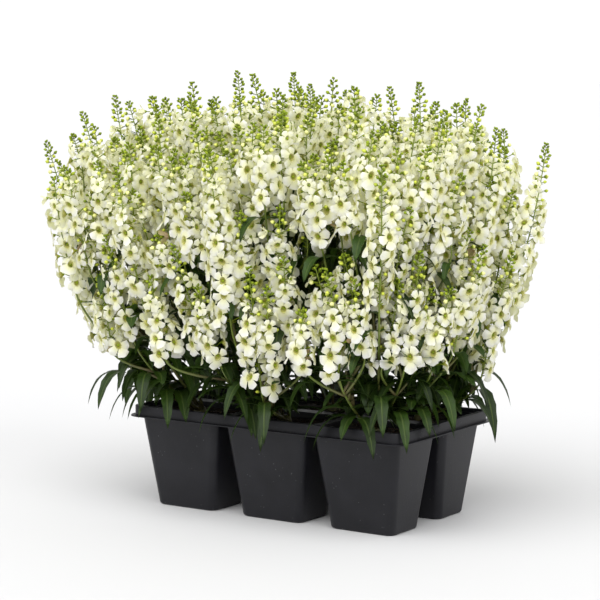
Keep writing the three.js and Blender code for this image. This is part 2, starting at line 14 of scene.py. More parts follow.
import bpy
import numpy as np
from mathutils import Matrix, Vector


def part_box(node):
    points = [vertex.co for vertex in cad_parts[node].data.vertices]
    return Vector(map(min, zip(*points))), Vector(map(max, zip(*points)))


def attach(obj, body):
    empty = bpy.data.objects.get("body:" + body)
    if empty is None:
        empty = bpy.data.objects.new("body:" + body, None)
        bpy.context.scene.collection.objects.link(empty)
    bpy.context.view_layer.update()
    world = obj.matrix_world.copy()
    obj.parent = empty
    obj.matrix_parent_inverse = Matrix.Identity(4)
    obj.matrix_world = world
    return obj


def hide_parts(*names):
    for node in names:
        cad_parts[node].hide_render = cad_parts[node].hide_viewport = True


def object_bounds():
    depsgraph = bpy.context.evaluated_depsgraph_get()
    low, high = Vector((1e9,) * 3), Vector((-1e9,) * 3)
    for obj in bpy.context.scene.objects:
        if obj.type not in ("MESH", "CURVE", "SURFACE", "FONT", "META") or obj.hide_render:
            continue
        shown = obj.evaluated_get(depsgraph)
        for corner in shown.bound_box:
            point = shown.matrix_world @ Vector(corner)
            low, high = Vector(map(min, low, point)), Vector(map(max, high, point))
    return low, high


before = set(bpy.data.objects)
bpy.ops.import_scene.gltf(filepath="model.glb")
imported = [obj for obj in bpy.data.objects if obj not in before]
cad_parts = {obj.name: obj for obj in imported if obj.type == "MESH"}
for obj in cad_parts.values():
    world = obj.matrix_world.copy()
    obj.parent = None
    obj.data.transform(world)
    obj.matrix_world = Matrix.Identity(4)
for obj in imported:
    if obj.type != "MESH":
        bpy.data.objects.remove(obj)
CAD_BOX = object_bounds()

LOG = logging.getLogger("snapdragon")
MM = 0.001
SEED = 31
SOIL_SEED = SEED + 100
UP = np.array([0.0, 0.0, 1.0])
MARKS = "marks"
Array = np.ndarray
Colour = tuple[float, float, float]


class Cell(Enum):
    """The pack's six cells."""

    FRONT_LEFT = "front_left"
    FRONT_MIDDLE = "front_middle"
    FRONT_RIGHT = "front_right"
    BACK_LEFT = "back_left"
    BACK_MIDDLE = "back_middle"
    BACK_RIGHT = "back_right"


class Stage(Enum):
    """How far a floret has come, as how far its lobes fold up, in radians."""

    OPENING = 1.15
    OPEN = 0.0
    SPENT = 1.35


class Slot(Enum):
    """The record's material slots."""

    PACK = "pack"
    SOIL = "soil"
    GREEN = "green"
    PETALS = "petals"


class Green(IntEnum):
    """The finishes of a plant's greenery, by their number in its mesh."""

    STEM = 0
    BUD = 1
    LEAF = 2


def within_cad(points: Array) -> bool:
    """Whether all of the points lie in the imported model's box."""
    low, high = (np.array(corner) for corner in CAD_BOX)
    return bool((points > low).all() and (points < high).all())


# Surfaces from points


def unit(vectors: Array) -> Array:
    """Vectors scaled to length one along the last axis."""
    return vectors / np.maximum(np.linalg.norm(vectors, axis=-1, keepdims=True), 1e-12)


def grid_faces(rows: int, columns: int, wrap: bool) -> Array:
    """Triangles between the rows of a grid of points.

    Args:
        rows: how many rows the grid has.
        columns: how many points a row has.
        wrap: whether each row closes on itself.

    Returns:
        One row of three point numbers per triangle. They face out of a tube whose rows turn
        anticlockwise about the way it runs.
    """
    across = columns if wrap else columns - 1
    row, column = np.meshgrid(np.arange(rows - 1), np.arange(across), indexing="ij")
    near = row * columns + column
    near_next = row * columns + (column + 1) % columns
    far, far_next = near + columns, near_next + columns
    lower = np.stack([near, near_next, far_next], -1).reshape(-1, 3)
    upper = np.stack([near, far_next, far], -1).reshape(-1, 3)
    return np.concatenate([lower, upper])


@dataclass
class Patch:
    """A bit of surface: points, triangles, and three shading values for each point."""

    points: Array
    faces: Array
    marks: Array

    def placed(self, origin: Array, axes: Array) -> "Patch":
        """Carries the patch into a frame of its own.

        Args:
            origin: where the patch's own origin goes.
            axes: three rows, the way its right, up and out go.

        Returns:
            The patch there.
        """
        return Patch(self.points @ axes + origin, self.faces, self.marks)


def tube(points: Array, radii: Array, sides: int, marks: Array) -> Patch:
    """A tube along a line of points, closed by a flat lid at each end.

    Args:
        points: the line, one point a row.
        radii: the tube's radius at each point.
        sides: how many sides it has.
        marks: one row of shading values for each point of the line.

    Returns:
        The tube.
    """
    along = unit(np.gradient(points, axis=0))
    reference = np.eye(3)[np.argmin(np.abs(along).sum(axis=0))]
    side = unit(np.cross(along, reference))
    other = np.cross(along, side)
    turn = 2 * math.pi * np.arange(sides) / sides
    spokes = np.cos(turn)[:, None] * side[:, None] + np.sin(turn)[:, None] * other[:, None]
    rings = points[:, None] + radii[:, None, None] * spokes
    count = len(points) * sides
    around = np.arange(sides)
    nearby = (around + 1) % sides
    first = np.stack([nearby, around, np.full(sides, count)], -1)
    last = count - sides
    final = np.stack([last + around, last + nearby, np.full(sides, count + 1)], -1)
    return Patch(
        np.concatenate([rings.reshape(-1, 3), points[:1], points[-1:]]),
        np.concatenate([grid_faces(len(points), sides, True), first, final]),
        np.concatenate([np.repeat(marks, sides, axis=0), marks[:1], marks[-1:]]),
    )


def bezier(start: Array, bend: Array, end: Array, share: Array) -> Array:
    """Points of a curve with one bend, at shares of its way."""
    t = np.asarray(share, float)[..., None]
    return (1 - t) ** 2 * start + 2 * t * (1 - t) * bend + t**2 * end


def nearest_on_segments(point: Array, starts: Array, ends: Array) -> Array:
    """Distances from a point to each of several straight stretches."""
    span = ends - starts
    share = ((point - starts) * span).sum(-1) / (span**2).sum(-1)
    feet = starts + span * np.clip(share, 0, 1)[:, None]
    return np.linalg.norm(point - feet, axis=-1)


class Batch:
    """Gathers patches into the mesh of one piece."""

    def __init__(self) -> None:
        """Starts with no patch."""
        self.patches: list[Patch] = []
        self.finishes: list[int] = []

    def add(self, patch: Patch, finish: int = 0) -> None:
        """Takes a patch in, under the number of one of the piece's finishes."""
        self.patches.append(patch)
        self.finishes.append(finish)

    def build(
        self,
        name: str,
        materials: Sequence[bpy.types.Material],
        slot: Slot,
        stands_for: Sequence[str] = (),
    ) -> bpy.types.Object:
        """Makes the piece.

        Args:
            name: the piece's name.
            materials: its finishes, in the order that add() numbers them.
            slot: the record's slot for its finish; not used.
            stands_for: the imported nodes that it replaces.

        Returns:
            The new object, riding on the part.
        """
        counts = [len(patch.points) for patch in self.patches]
        firsts = np.cumsum([0, *counts[:-1]])
        points = np.concatenate([patch.points for patch in self.patches])
        marks = np.concatenate([patch.marks for patch in self.patches])
        faces = np.concatenate([p.faces + n for p, n in zip(self.patches, firsts)])
        dressed = np.repeat(self.finishes, [len(patch.faces) for patch in self.patches])
        mesh = bpy.data.meshes.new(name)
        mesh.vertices.add(len(points))
        mesh.vertices.foreach_set("co", points.astype(np.float32).ravel())
        mesh.loops.add(faces.size)
        mesh.loops.foreach_set("vertex_index", faces.astype(np.int32).ravel())
        mesh.polygons.add(len(faces))
        mesh.polygons.foreach_set("loop_start", np.arange(0, faces.size, 3, dtype=np.int32))
        mesh.polygons.foreach_set("material_index", dressed.astype(np.int32))
        mesh.polygons.foreach_set("use_smooth", np.ones(len(faces), bool))
        mesh.update(calc_edges=True)
        attribute = mesh.attributes.new(MARKS, "FLOAT_VECTOR", "POINT")
        attribute.data.foreach_set("vector", marks.astype(np.float32).ravel())
        for material in materials:
            mesh.materials.append(material)
        return settle(bpy.data.objects.new(name, mesh), stands_for)


def settle(piece: bpy.types.Object, stands_for: Sequence[str] = ()) -> bpy.types.Object:
    """Links a piece, puts it on the part and reports it.

    Args:
        piece: the new object.
        stands_for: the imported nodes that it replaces.

    Returns:
        The same object.
    """
    if piece.name not in bpy.context.scene.collection.objects:
        bpy.context.scene.collection.objects.link(piece)
    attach(piece, "root")
    if stands_for:
        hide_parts(*stands_for)
    LOG.info("%s: %d triangles", piece.name, sum(len(p.vertices) - 2 for p in piece.data.polygons))
    return piece


# Shader maths


class Shade:
    """One output of a shader node. Arithmetic on it adds Math nodes."""

    def __init__(self, finisher: "Finisher", socket: bpy.types.NodeSocket) -> None:
        """Wraps a socket of one of the finisher's nodes."""
        self.finisher = finisher
        self.socket = socket

    def output(self, key: str | int) -> "Shade":
        """Another output of the same node."""
        return Shade(self.finisher, self.socket.node.outputs[key])

    def math(self, operation: str, *others: "Shade | float") -> "Shade":
        """A Math node on this value and others."""
        operands = dict(enumerate((self, *others)))
        return self.finisher.node("ShaderNodeMath", {"operation": operation}, operands)

    def __add__(self, other: "Shade | float") -> "Shade":
        """This value plus another."""
        return self.math("ADD", other)

    def __sub__(self, other: "Shade | float") -> "Shade":
        """This value less another."""
        return self.math("SUBTRACT", other)

    def __rsub__(self, other: float) -> "Shade":
        """A number less this value."""
        return self.finisher.node("ShaderNodeMath", {"operation": "SUBTRACT"}, {0: other, 1: self})

    def __mul__(self, other: "Shade | float") -> "Shade":
        """This value times another."""
        return self.math("MULTIPLY", other)

    def __truediv__(self, other: "Shade | float") -> "Shade":
        """This value over another."""
        return self.math("DIVIDE", other)

    def __pow__(self, other: "Shade | float") -> "Shade":
        """This value to a power."""
        return self.math("POWER", other)

    __radd__ = __add__
    __rmul__ = __mul__

    def size(self) -> "Shade":
        """This value without its sign."""
        return self.math("ABSOLUTE")

    def step(self, start: float, end: float) -> "Shade":
        """A soft step from 0 at start to 1 at end, which may be the lower of the two."""
        ends = {"Value": self, "From Min": start, "From Max": end}
        return self.finisher.node("ShaderNodeMapRange", {"interpolation_type": "SMOOTHSTEP"}, ends)


class Finisher:
    """Builds the nodes of one material."""

    def __init__(self, name: str) -> None:
        """Starts an empty material of that name."""
        self.material = bpy.data.materials.new(name)
        self.material.use_nodes = True
        self.tree = self.material.node_tree
        self.tree.nodes.clear()

    def node(
        self,
        kind: str,
        settings: Mapping[str, object] | None = None,
        sockets: Mapping[str | int, object] | None = None,
    ) -> Shade:
        """Adds a node.

        Args:
            kind: the node's type.
            settings: its properties, and a ramp's stops as (place, colour) pairs.
            sockets: a value or a link for each input, by name or number.

        Returns:
            The node's first output.
        """
        made = self.tree.nodes.new(kind)
        for name, value in (settings or {}).items():
            if name == "stops":
                self.set_stops(made.color_ramp, value)
            else:
                setattr(made, name, value)
        for key, value in (sockets or {}).items():
            target = made.inputs[key]
            if isinstance(value, Shade):
                self.tree.links.new(value.socket, target)
            elif isinstance(value, tuple) and target.type == "RGBA":
                target.default_value = (*value, 1.0)
            else:
                target.default_value = value
        return Shade(self, made.outputs[0])

    @staticmethod
    def set_stops(ramp: bpy.types.ColorRamp, stops: Sequence[tuple[float, Colour]]) -> None:
        """Gives a ramp its stops.

        Args:
            ramp: a new ramp, with two stops of its own.
            stops: each stop's place and colour.
        """
        while len(ramp.elements) < len(stops):
            ramp.elements.new(1.0)
        for element, (place, colour) in zip(ramp.elements, stops):
            element.position = place
            element.color = (*colour, 1.0)

    def mix(self, factor: Shade | float, first: object, second: object) -> Shade:
        """A colour that goes from the first to the second."""
        # The node takes its two colours at sockets 6 and 7, and gives the mix at 2.
        sockets = {0: factor, 6: first, 7: second}
        return self.node("ShaderNodeMix", {"data_type": "RGBA"}, sockets).output(2)

    def marks(self) -> tuple[Shade, Shade, Shade]:
        """The three shading values that the mesh carries at each point."""
        read = self.node("ShaderNodeAttribute", {"attribute_name": MARKS}).output("Vector")
        first = self.node("ShaderNodeSeparateXYZ", None, {0: read})
        return first, first.output(1), first.output(2)

    def noise(self, scale: float, detail: float = 2.0) -> Shade:
        """Noise from 0 to 1 at a scale in waves per metre."""
        place = self.node("ShaderNodeTexCoord").output("Object")
        return self.node("ShaderNodeTexNoise", None, {"Vector": place, "Scale": scale, "Detail": detail})

    def bump(self, height: Shade, strength: float, distance: float) -> Shade:
        """A normal roughened by a height, with the bump's strength and depth."""
        values = {"Height": height, "Strength": strength, "Distance": distance}
        return self.node("ShaderNodeBump", None, values)

    def finish(self, surface: Shade) -> bpy.types.Material:
        """Links the surface to the material's output."""
        output = self.tree.nodes.new("ShaderNodeOutputMaterial")
        self.tree.links.new(surface.socket, output.inputs["Surface"])
        return self.material


@dataclass(frozen=True)
class Petal:
    """White petals with random patches of painted grey shade, a cream heart and an olive throat."""

    white: Colour = (0.87, 0.865, 0.835)
    shaded: Colour = (0.80, 0.79, 0.755)
    cream: Colour = (0.86, 0.85, 0.38)
    olive: Colour = (0.34, 0.33, 0.06)
    gold: Colour = (0.52, 0.49, 0.13)
    young: Colour = (0.85, 0.84, 0.62)
    tan: Colour = (0.46, 0.33, 0.20)
    glow: Colour = (0.93, 0.94, 0.50)
    throat: tuple[float, float] = (0.26, 0.37)
    throat_drop: float = 0.02
    throat_edge: tuple[float, float] = (1.25, 0.6)
    halo: tuple[float, float] = (2.6, 1.0)
    halo_strength: float = 0.6
    shade_patches: float = 260.0
    shade_patch_edge: tuple[float, float] = (0.35, 0.7)
    flecks: float = 1100.0
    gold_edge: tuple[float, float] = (0.2, 0.9)
    tan_edge: tuple[float, float] = (0.45, 0.9)
    grain: float = 600.0
    relief: tuple[float, float] = (0.3, 0.6 * MM)
    roughness: float = 0.55
    translucence: float = 0.34

    def build(self) -> bpy.types.Material:
        """The material. The marks are the place across the face and up it, then the age."""
        at = Finisher("petal")
        across, up, age = at.marks()
        fleck = at.noise(self.flecks) - 0.5
        lifted = (up + self.throat_drop) / self.throat[1]
        oval = ((across / self.throat[0]) ** 2 + lifted**2) ** 0.5
        throat = (oval + fleck * 0.5).step(*self.throat_edge)
        heart = oval.step(*self.halo)
        youth = (age * -1.0).step(0.0, 1.0)
        # Painted shade: the white gives way at random to a greyer, shaded copy of it.
        colour = at.mix(at.noise(self.shade_patches).step(*self.shade_patch_edge), self.white, self.shaded)
        colour = at.mix(heart * self.halo_strength, colour, self.cream)
        colour = at.mix(youth, colour, self.young)
        speckled = at.mix((fleck * 2.0 + oval * 0.5).step(*self.gold_edge), self.olive, self.gold)
        colour = at.mix(throat * (1 - youth), colour, speckled)
        colour = at.mix((age + fleck * 0.4).step(*self.tan_edge), colour, self.tan)
        bump = at.bump(at.noise(self.grain, 3.0), *self.relief)
        base = {"Base Color": colour, "Roughness": self.roughness, "Normal": bump}
        body = at.node("ShaderNodeBsdfPrincipled", None, base)
        through = at.node("ShaderNodeBsdfTranslucent", None, {"Color": self.glow})
        share = self.translucence * (1 - throat)
        return at.finish(at.node("ShaderNodeMixShader", None, {0: share, 1: body, 2: through}))


@dataclass(frozen=True)
class Leaf:
    """Dark green blades with a paler midrib and side veins."""

    dark: Colour = (0.007, 0.017, 0.003)
    bright: Colour = (0.032, 0.072, 0.008)
    rib: Colour = (0.09, 0.13, 0.03)
    glow: Colour = (0.10, 0.21, 0.015)
    roughness: float = 0.42
    gloss: float = 0.25
    veins: float = 26.0
    vein_slant: float = 0.22
    vein_strength: float = 0.16
    rib_edge: tuple[float, float] = (0.16, 0.04)
    rib_strength: float = 0.55
    clouds: float = 160.0
    tone_edge: tuple[float, float] = (0.0, 1.1)
    vein_edge: tuple[float, float] = (0.55, 1.0)
    sheen_stray: float = 0.2
    relief: tuple[float, float] = (0.5, 0.5 * MM)
    translucence: float = 0.12

    def build(self) -> bpy.types.Material:
        """The material. The marks are the place along and across a blade, then its tone."""
        at = Finisher("leaf")
        along, across, tone = at.marks()
        cloud = at.noise(self.clouds, 3.0)
        colour = at.mix((tone + cloud - 0.5).step(*self.tone_edge), self.dark, self.bright)
        midrib = across.size().step(*self.rib_edge)
        colour = at.mix(midrib * self.rib_strength, colour, self.rib)
        wave = ((along - across.size() * self.vein_slant) * self.veins * math.tau).math("SINE")
        vein = wave.step(*self.vein_edge)
        colour = at.mix(vein * self.vein_strength, colour, self.rib)
        height = vein * -0.5 - midrib + cloud * 0.4
        base = {
            "Base Color": colour,
            "Roughness": self.roughness + (cloud - 0.5) * self.sheen_stray,
            "Specular IOR Level": self.gloss,
            "Normal": at.bump(height, *self.relief),
        }
        body = at.node("ShaderNodeBsdfPrincipled", None, base)
        through = at.node("ShaderNodeBsdfTranslucent", None, {"Color": self.glow})
        share = {0: self.translucence, 1: body, 2: through}
        return at.finish(at.node("ShaderNodeMixShader", None, share))


@dataclass(frozen=True)
class Bud:
    """Buds from tight and green to swollen and cream, with their stalks."""

    green: Colour = (0.27, 0.35, 0.02)
    shade: Colour = (0.10, 0.145, 0.01)
    lime: Colour = (0.56, 0.62, 0.08)
    cream: Colour = (0.80, 0.80, 0.34)
    lime_from: tuple[float, float] = (0.15, 0.6)
    cream_from: tuple[float, float] = (0.6, 0.95)
    lime_along: tuple[float, float] = (0.1, 0.6)
    cream_along: tuple[float, float] = (0.25, 0.6)
    tone_edge: tuple[float, float] = (0.2, 1.2)
    grain: float = 900.0
    relief: tuple[float, float] = (0.3, 0.4 * MM)
    roughness: float = 0.55
    gloss: float = 0.15

    def build(self) -> bpy.types.Material:
        """The material. The marks are the place along a bud, its ripeness and its tone."""
        at = Finisher("bud")
        along, ripe, tone = at.marks()
        # Painted shade: the green darkens into a shaded copy of it towards each bud's foot and on buds
        # whose tone is low.
        colour = at.mix((tone + along * 0.5).step(*self.tone_edge), self.shade, self.green)
        lime = ripe.step(*self.lime_from) * along.step(*self.lime_along)
        colour = at.mix(lime, colour, self.lime)
        cream = ripe.step(*self.cream_from) * along.step(*self.cream_along)
        colour = at.mix(cream, colour, self.cream)
        bump = at.bump(at.noise(self.grain), *self.relief)
        gloss = {"Roughness": self.roughness, "Specular IOR Level": self.gloss}
        base = {"Base Color": colour, "Normal": bump, **gloss}
        return at.finish(at.node("ShaderNodeBsdfPrincipled", None, base))


@dataclass(frozen=True)
class Stem:
    """Green stems, paler above and browner at the foot."""

    foot: Colour = (0.10, 0.075, 0.03)
    middle: Colour = (0.11, 0.15, 0.022)
    top: Colour = (0.22, 0.29, 0.03)
    middle_at: float = 0.35
    grain: float = 300.0
    streaks: float = 0.3
    tone_shift: float = 0.1
    relief: tuple[float, float] = (0.3, 0.4 * MM)
    roughness: float = 0.5

    def build(self) -> bpy.types.Material:
        """The material. The first mark is the height up the shoot, the last its tone."""
        at = Finisher("stem")
        height, _, tone = at.marks()
        stops = {"stops": ((0.0, self.foot), (self.middle_at, self.middle), (1.0, self.top))}
        run = at.noise(self.grain, 3.0)
        place = height + (run - 0.5) * self.streaks + tone * self.tone_shift
        ramp = at.node("ShaderNodeValToRGB", stops, {0: place})
        bump = at.bump(run, *self.relief)
        base = {"Base Color": ramp, "Roughness": self.roughness, "Normal": bump}
        return at.finish(at.node("ShaderNodeBsdfPrincipled", None, base))


@dataclass(frozen=True)
class Peat:
    """Dark peat with fibres and a few pale crumbs."""

    wet: Colour = (0.012, 0.008, 0.006)
    dry: Colour = (0.055, 0.033, 0.02)
    fibre: Colour = (0.16, 0.10, 0.055)
    lumps: float = 220.0
    dry_edge: tuple[float, float] = (0.35, 0.7)
    fibres: float = 1400.0
    fibre_edge: tuple[float, float] = (0.66, 0.74)
    fibre_strength: float = 0.7
    relief: tuple[float, float] = (0.9, 1.5 * MM)
    roughness: float = 0.9

    def build(self) -> bpy.types.Material:
        """The material."""
        at = Finisher("peat")
        coarse, fine = at.noise(self.lumps, 4.0), at.noise(self.fibres)
        colour = at.mix(coarse.step(*self.dry_edge), self.wet, self.dry)
        colour = at.mix(fine.step(*self.fibre_edge) * self.fibre_strength, colour, self.fibre)
        bump = at.bump(coarse + fine * 0.5, *self.relief)
        base = {"Base Color": colour, "Roughness": self.roughness, "Normal": bump}
        return at.finish(at.node("ShaderNodeBsdfPrincipled", None, base))


@dataclass(frozen=True)
class PackPlastic:
    """Black formed sheet with a satin skin, dust specks and faint draw marks."""

    black: Colour = (0.007, 0.007, 0.0092)
    grey: Colour = (0.0115, 0.0115, 0.0148)
    speck: Colour = (0.10, 0.10, 0.105)
    clouds: float = 38.0
    cloud_edge: tuple[float, float] = (0.3, 0.75)
    draw_lines: float = 700.0
    draw_stretch: float = 0.08
    specks: float = 300.0
    speck_edge: tuple[float, float] = (0.20, 0.08)
    speck_patches: float = 120.0
    speck_chance: tuple[float, float] = (0.56, 0.62)
    speck_strength: float = 0.55
    grain: float = 1600.0
    relief: tuple[float, float] = (0.22, 0.6 * MM)
    sheen_stray: float = 0.14
    speck_dullness: float = 0.2
    roughness: float = 0.42
    gloss: float = 0.27

    def build(self) -> bpy.types.Material:
        """The material."""
        at = Finisher("pack_plastic")
        place = at.node("ShaderNodeTexCoord").output("Object")
        cloud = at.noise(self.clouds, 3.0)
        stretch = Vector((1.0, 1.0, self.draw_stretch))
        drawn = at.node("ShaderNodeMapping", None, {0: place, "Scale": stretch})
        line_values = {"Vector": drawn, "Scale": self.draw_lines, "Detail": 2.0}
        lines = at.node("ShaderNodeTexNoise", None, line_values)
        dots = at.node("ShaderNodeTexVoronoi", None, {"Vector": place, "Scale": self.specks})
        chance = at.noise(self.speck_patches, 1.0)
        speck = dots.step(*self.speck_edge) * chance.step(*self.speck_chance)
        colour = at.mix(cloud.step(*self.cloud_edge), self.black, self.grey)
        colour = at.mix(speck * self.speck_strength, colour, self.speck)
        height = cloud * 0.35 + lines * 0.3 + at.noise(self.grain, 1.0) * 0.35 + speck * 0.6
        roughness = self.roughness + (cloud - 0.5) * self.sheen_stray + speck * self.speck_dullness
        base = {
            "Base Color": colour,
            "Roughness": roughness,
            "Specular IOR Level": self.gloss,
            "Normal": at.bump(height, *self.relief),
        }
        return at.finish(at.node("ShaderNodeBsdfPrincipled", None, base))


@dataclass(frozen=True)
class StudioWhite:
    """The pale sweep that the pack stands on."""

    white: Colour = (0.615, 0.615, 0.62)
    roughness: float = 0.8

    def build(self) -> bpy.types.Material:
        """The material."""
        at = Finisher("studio_white")
        base = {"Base Color": self.white, "Roughness": self.roughness}
        return at.finish(at.node("ShaderNodeBsdfPrincipled", None, base))


# Florets, buds and leaves


@dataclass(frozen=True)
class Lobe:
    """A petal's lobe: bearing from the top, half its share of the rim, and its own form."""

    bearing: float
    span: float
    length: float
    width: float
    slope: float


@dataclass(frozen=True)
class Floret:
    """One open floret: a pouched throat, two round lobes above, one at each side, a lip below."""

    lobes: tuple[Lobe, ...] = (
        Lobe(-37.0, 36.0, 5.2 * MM, 6.5 * MM, -0.15),
        Lobe(37.0, 36.0, 5.2 * MM, 6.5 * MM, -0.15),
        Lobe(-112.0, 38.0, 6.4 * MM, 7.7 * MM, 0.0),
        Lobe(112.0, 38.0, 6.4 * MM, 7.7 * MM, 0.0),
        Lobe(180.0, 30.0, 7.8 * MM, 9.2 * MM, 0.25),
    )
    throat: tuple[float, float] = (2.3 * MM, 3.3 * MM)
    pouch: float = 3.0 * MM
    pouch_ring: tuple[float, float] = (0.7, 0.55)
    pouch_sag: float = 0.2
    stations: tuple[float, ...] = (0.0, 0.42, 0.77, 1.0)
    widths: tuple[float, ...] = (0.5, 0.86, 1.0, 0.62)
    columns: int = 5
    rounding: float = 0.13
    curl: float = 1.1 * MM
    dip: float = 0.8 * MM
    ruffle: float = 0.35 * MM
    ruffle_waves: tuple[float, float] = (2.4, 5.0)
    twist: float = 0.7 * MM
    fold_narrowing: float = 0.25
    bearing_stray: float = 4.0
    slope_stray: float = 0.2
    lobe_sizes: tuple[float, float] = (0.86, 1.1)
    rim_points: int = 8
    mark_scale: float = 10.0 * MM

    def rim(self, turn: Array) -> Array:
        """The throat's rim, as places across and up, at bearings in radians."""
        return np.stack([-np.sin(turn) * self.throat[0], np.cos(turn) * self.throat[1]], -1)

    def patch(self, size: float, stage: Stage, age: float, draw: np.random.Generator) -> Patch:
        """The floret's face, looking along its own out axis.

        Args:
            size: its size beside a full one.
            stage: how far it has come.
            age: below 0 for a young one, towards 1 for a spent one.
            draw: the source of its small differences.

        Returns:
            The face, with its throat at the origin.
        """
        petals, flat = self.petals(stage, draw)
        around = np.arange(self.rim_points)
        ring = np.column_stack([self.rim(math.tau * around / len(around)), np.zeros(len(around))])
        share, depth = self.pouch_ring
        inner = ring * share - np.array([0.0, 0.0, depth * self.pouch])
        bottom = [0.0, -self.pouch_sag * self.throat[1], -self.pouch]
        cup = np.concatenate([ring, inner, [bottom]])
        last = len(around) + around
        fan = np.stack([last, np.roll(last, -1), np.full(len(around), len(cup) - 1)], -1)
        rows, columns = len(self.stations), self.columns
        sheet = grid_faces(rows, columns, False)[:, ::-1]
        sheets = [sheet + len(cup) + k * rows * columns for k in range(len(self.lobes))]
        faces = np.concatenate([grid_faces(2, len(around), True), fan, *sheets])
        seen = np.concatenate([cup[:, :2], flat]) / self.mark_scale
        marks = np.column_stack([seen, np.full(len(seen), age)])
        return Patch(np.concatenate([cup, petals]) * size, faces, marks)

    def petals(self, stage: Stage, draw: np.random.Generator) -> tuple[Array, Array]:
        """All the lobes, each a grid of points.

        Args:
            stage: how far the floret has come.
            draw: the source of its small differences.

        Returns:
            Their points, and where these lie on the face when it is fully open.
        """
        count = len(self.lobes)
        own = np.array([[o.bearing, o.span, o.length, o.width, o.slope] for o in self.lobes])
        own[:, 0] += draw.normal(0, self.bearing_stray, count)
        own[:, 2:4] *= draw.uniform(*self.lobe_sizes, (count, 2))
        own[:, 4] += draw.normal(0, self.slope_stray, count)
        bearing, span, length, width, slope = (column[:, None, None] for column in own.T)
        phase = draw.uniform(0, math.tau, (count, 1, 1))
        share = np.array(self.stations)[None, :, None]
        wide = np.array(self.widths)[None, :, None]
        across = np.linspace(-1, 1, self.columns)[None, None, :]
        reach = length * share - self.rounding * width * across**2 * share**4
        aside = across * wide * width / 2
        rise = slope * reach - self.curl * across**2 * wide * share**0.5 - self.dip * share**3
        wave = phase + self.ruffle_waves[0] * across + self.ruffle_waves[1] * share
        rise = rise + self.ruffle * np.sin(wave) * share
        rise = rise + self.twist * draw.normal(0, 1, (count, 1, 1)) * across * share
        turn = np.radians(bearing)
        out = np.stack([-np.sin(turn), np.cos(turn)], -1)
        side = np.stack([-np.cos(turn), -np.sin(turn)], -1)
        start = self.rim(np.radians(bearing + span * across))
        grown = (share > 0)[..., None]
        flat = self.rim(turn) + out * reach[..., None] + side * aside[..., None]
        flat = np.where(grown, flat, start)
        fold = stage.value
        bent = reach * math.cos(fold) - rise * math.sin(fold)
        high = np.where(share > 0, reach * math.sin(fold) + rise * math.cos(fold), 0.0)
        narrow = 1 - self.fold_narrowing * fold
        real = self.rim(turn) + out * bent[..., None] + side * aside[..., None] * narrow
        real = np.concatenate([np.where(grown, real, start), high[..., None]], -1)
        return real.reshape(-1, 3), flat.reshape(-1, 2)


@dataclass(frozen=True)
class BudShape:
    """A round bud on its stalk."""

    sides: int = 5
    profile: tuple[tuple[float, float], ...] = ((0.0, 0.5), (0.4, 1.0), (0.95, 0.4))
    stalk: float = 0.36 * MM

    def add_to(
        self,
        greens: Batch,
        foot: Array,
        heart: Array,
        size: tuple[float, float],
        look: tuple[float, float],
    ) -> None:
        """Adds the bud and its stalk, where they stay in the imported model's box.

        Args:
            greens: the mesh that takes them.
            foot: where the stalk leaves the stem.
            heart: where the stalk ends and the bud begins.
            size: the bud's length and half width.
            look: how ripe it is and how bright, each from 0 to 1.
        """
        along = unit(heart - foot)
        stations, wide = np.array(self.profile).T
        line = heart + np.outer(stations, along * size[0])
        marks = np.column_stack([stations, np.full((len(stations), 2), look)])
        body = tube(line, wide * size[1], self.sides, marks)
        if not within_cad(body.points):
            return
        greens.add(body, Green.BUD)
        stalk = np.array([foot, heart + along * size[0] * 0.1])
        marks = np.array([[0.3, 0.0, look[1]]] * 2)
        greens.add(tube(stalk, np.full(2, self.stalk), 3, marks), Green.BUD)


@dataclass(frozen=True)
class Blade:
    """A narrow toothed leaf, cut as a thin sheet with a folded midrib."""

    stations: int = 11
    tooth: float = 0.13
    keel: float = 0.22
    taper: tuple[float, float] = (0.55, 0.75)

    def patch(self, midrib: Array, side: Array, half_width: float, tone: float) -> Patch:
        """The blade along its midrib.

        Args:
            midrib: three rows: the coefficients of the midrib's place by the share of its way.
            side: the direction across the blade.
            half_width: its largest half width.
            tone: how bright it is, from 0 to 1.

        Returns:
            The blade.
        """
        share = np.linspace(0.0, 1.0, self.stations)
        centre = np.stack([share**2, share, np.ones_like(share)], -1) @ midrib
        low, high = self.taper
        peak = low / (low + high)
        shape = share**low * (1 - share) ** high / (peak**low * (1 - peak) ** high)
        toothed = shape * (1 - self.tooth * (np.arange(self.stations) % 2))
        across = np.array([-1.0, -0.5, 0.0, 0.5, 1.0])
        widths = np.stack([toothed, shape, shape, shape, toothed], -1) * across * half_width
        along = unit(np.gradient(centre, axis=0))
        normal = unit(np.cross(side, along))
        normal *= np.where(normal[:, 2:] < 0, -1.0, 1.0)
        lift = np.abs(widths) * self.keel
        points = centre[:, None] + widths[..., None] * side + lift[..., None] * normal[:, None]
        marks = np.stack(
            np.broadcast_arrays(share[:, None], across[None], np.full((1, 1), tone)), -1
        )
        faces = grid_faces(self.stations, len(across), False)
        return Patch(points.reshape(-1, 3), faces, marks.reshape(-1, 3))


@dataclass(frozen=True)
class Bract:
    """The little leaf under a stalk: two halves folded along its midrib."""

    lift: float = 0.3
    widest: float = 0.45
    keel: float = 0.1
    half_width: float = 0.22

    def patch(self, foot: Array, out: Array, axis: Array, length: float, tone: float) -> Patch:
        """The bract.

        Args:
            foot: where it grows.
            out: the way that it points.
            axis: the way that the spike points.
            length: its length.
            tone: how bright it is.

        Returns:
            Its two halves.
        """
        tip = foot + (out + axis * self.lift) * length
        middle = foot + (tip - foot) * self.widest + axis * self.keel * length
        aside = np.cross(axis, out) * self.half_width * length
        points = np.array([foot, middle + aside, tip, middle - aside])
        marks = np.array([[0.2, 0.0, tone]] * len(points))
        return Patch(points, np.array([[0, 1, 2], [0, 2, 3]]), marks)


# Shoots


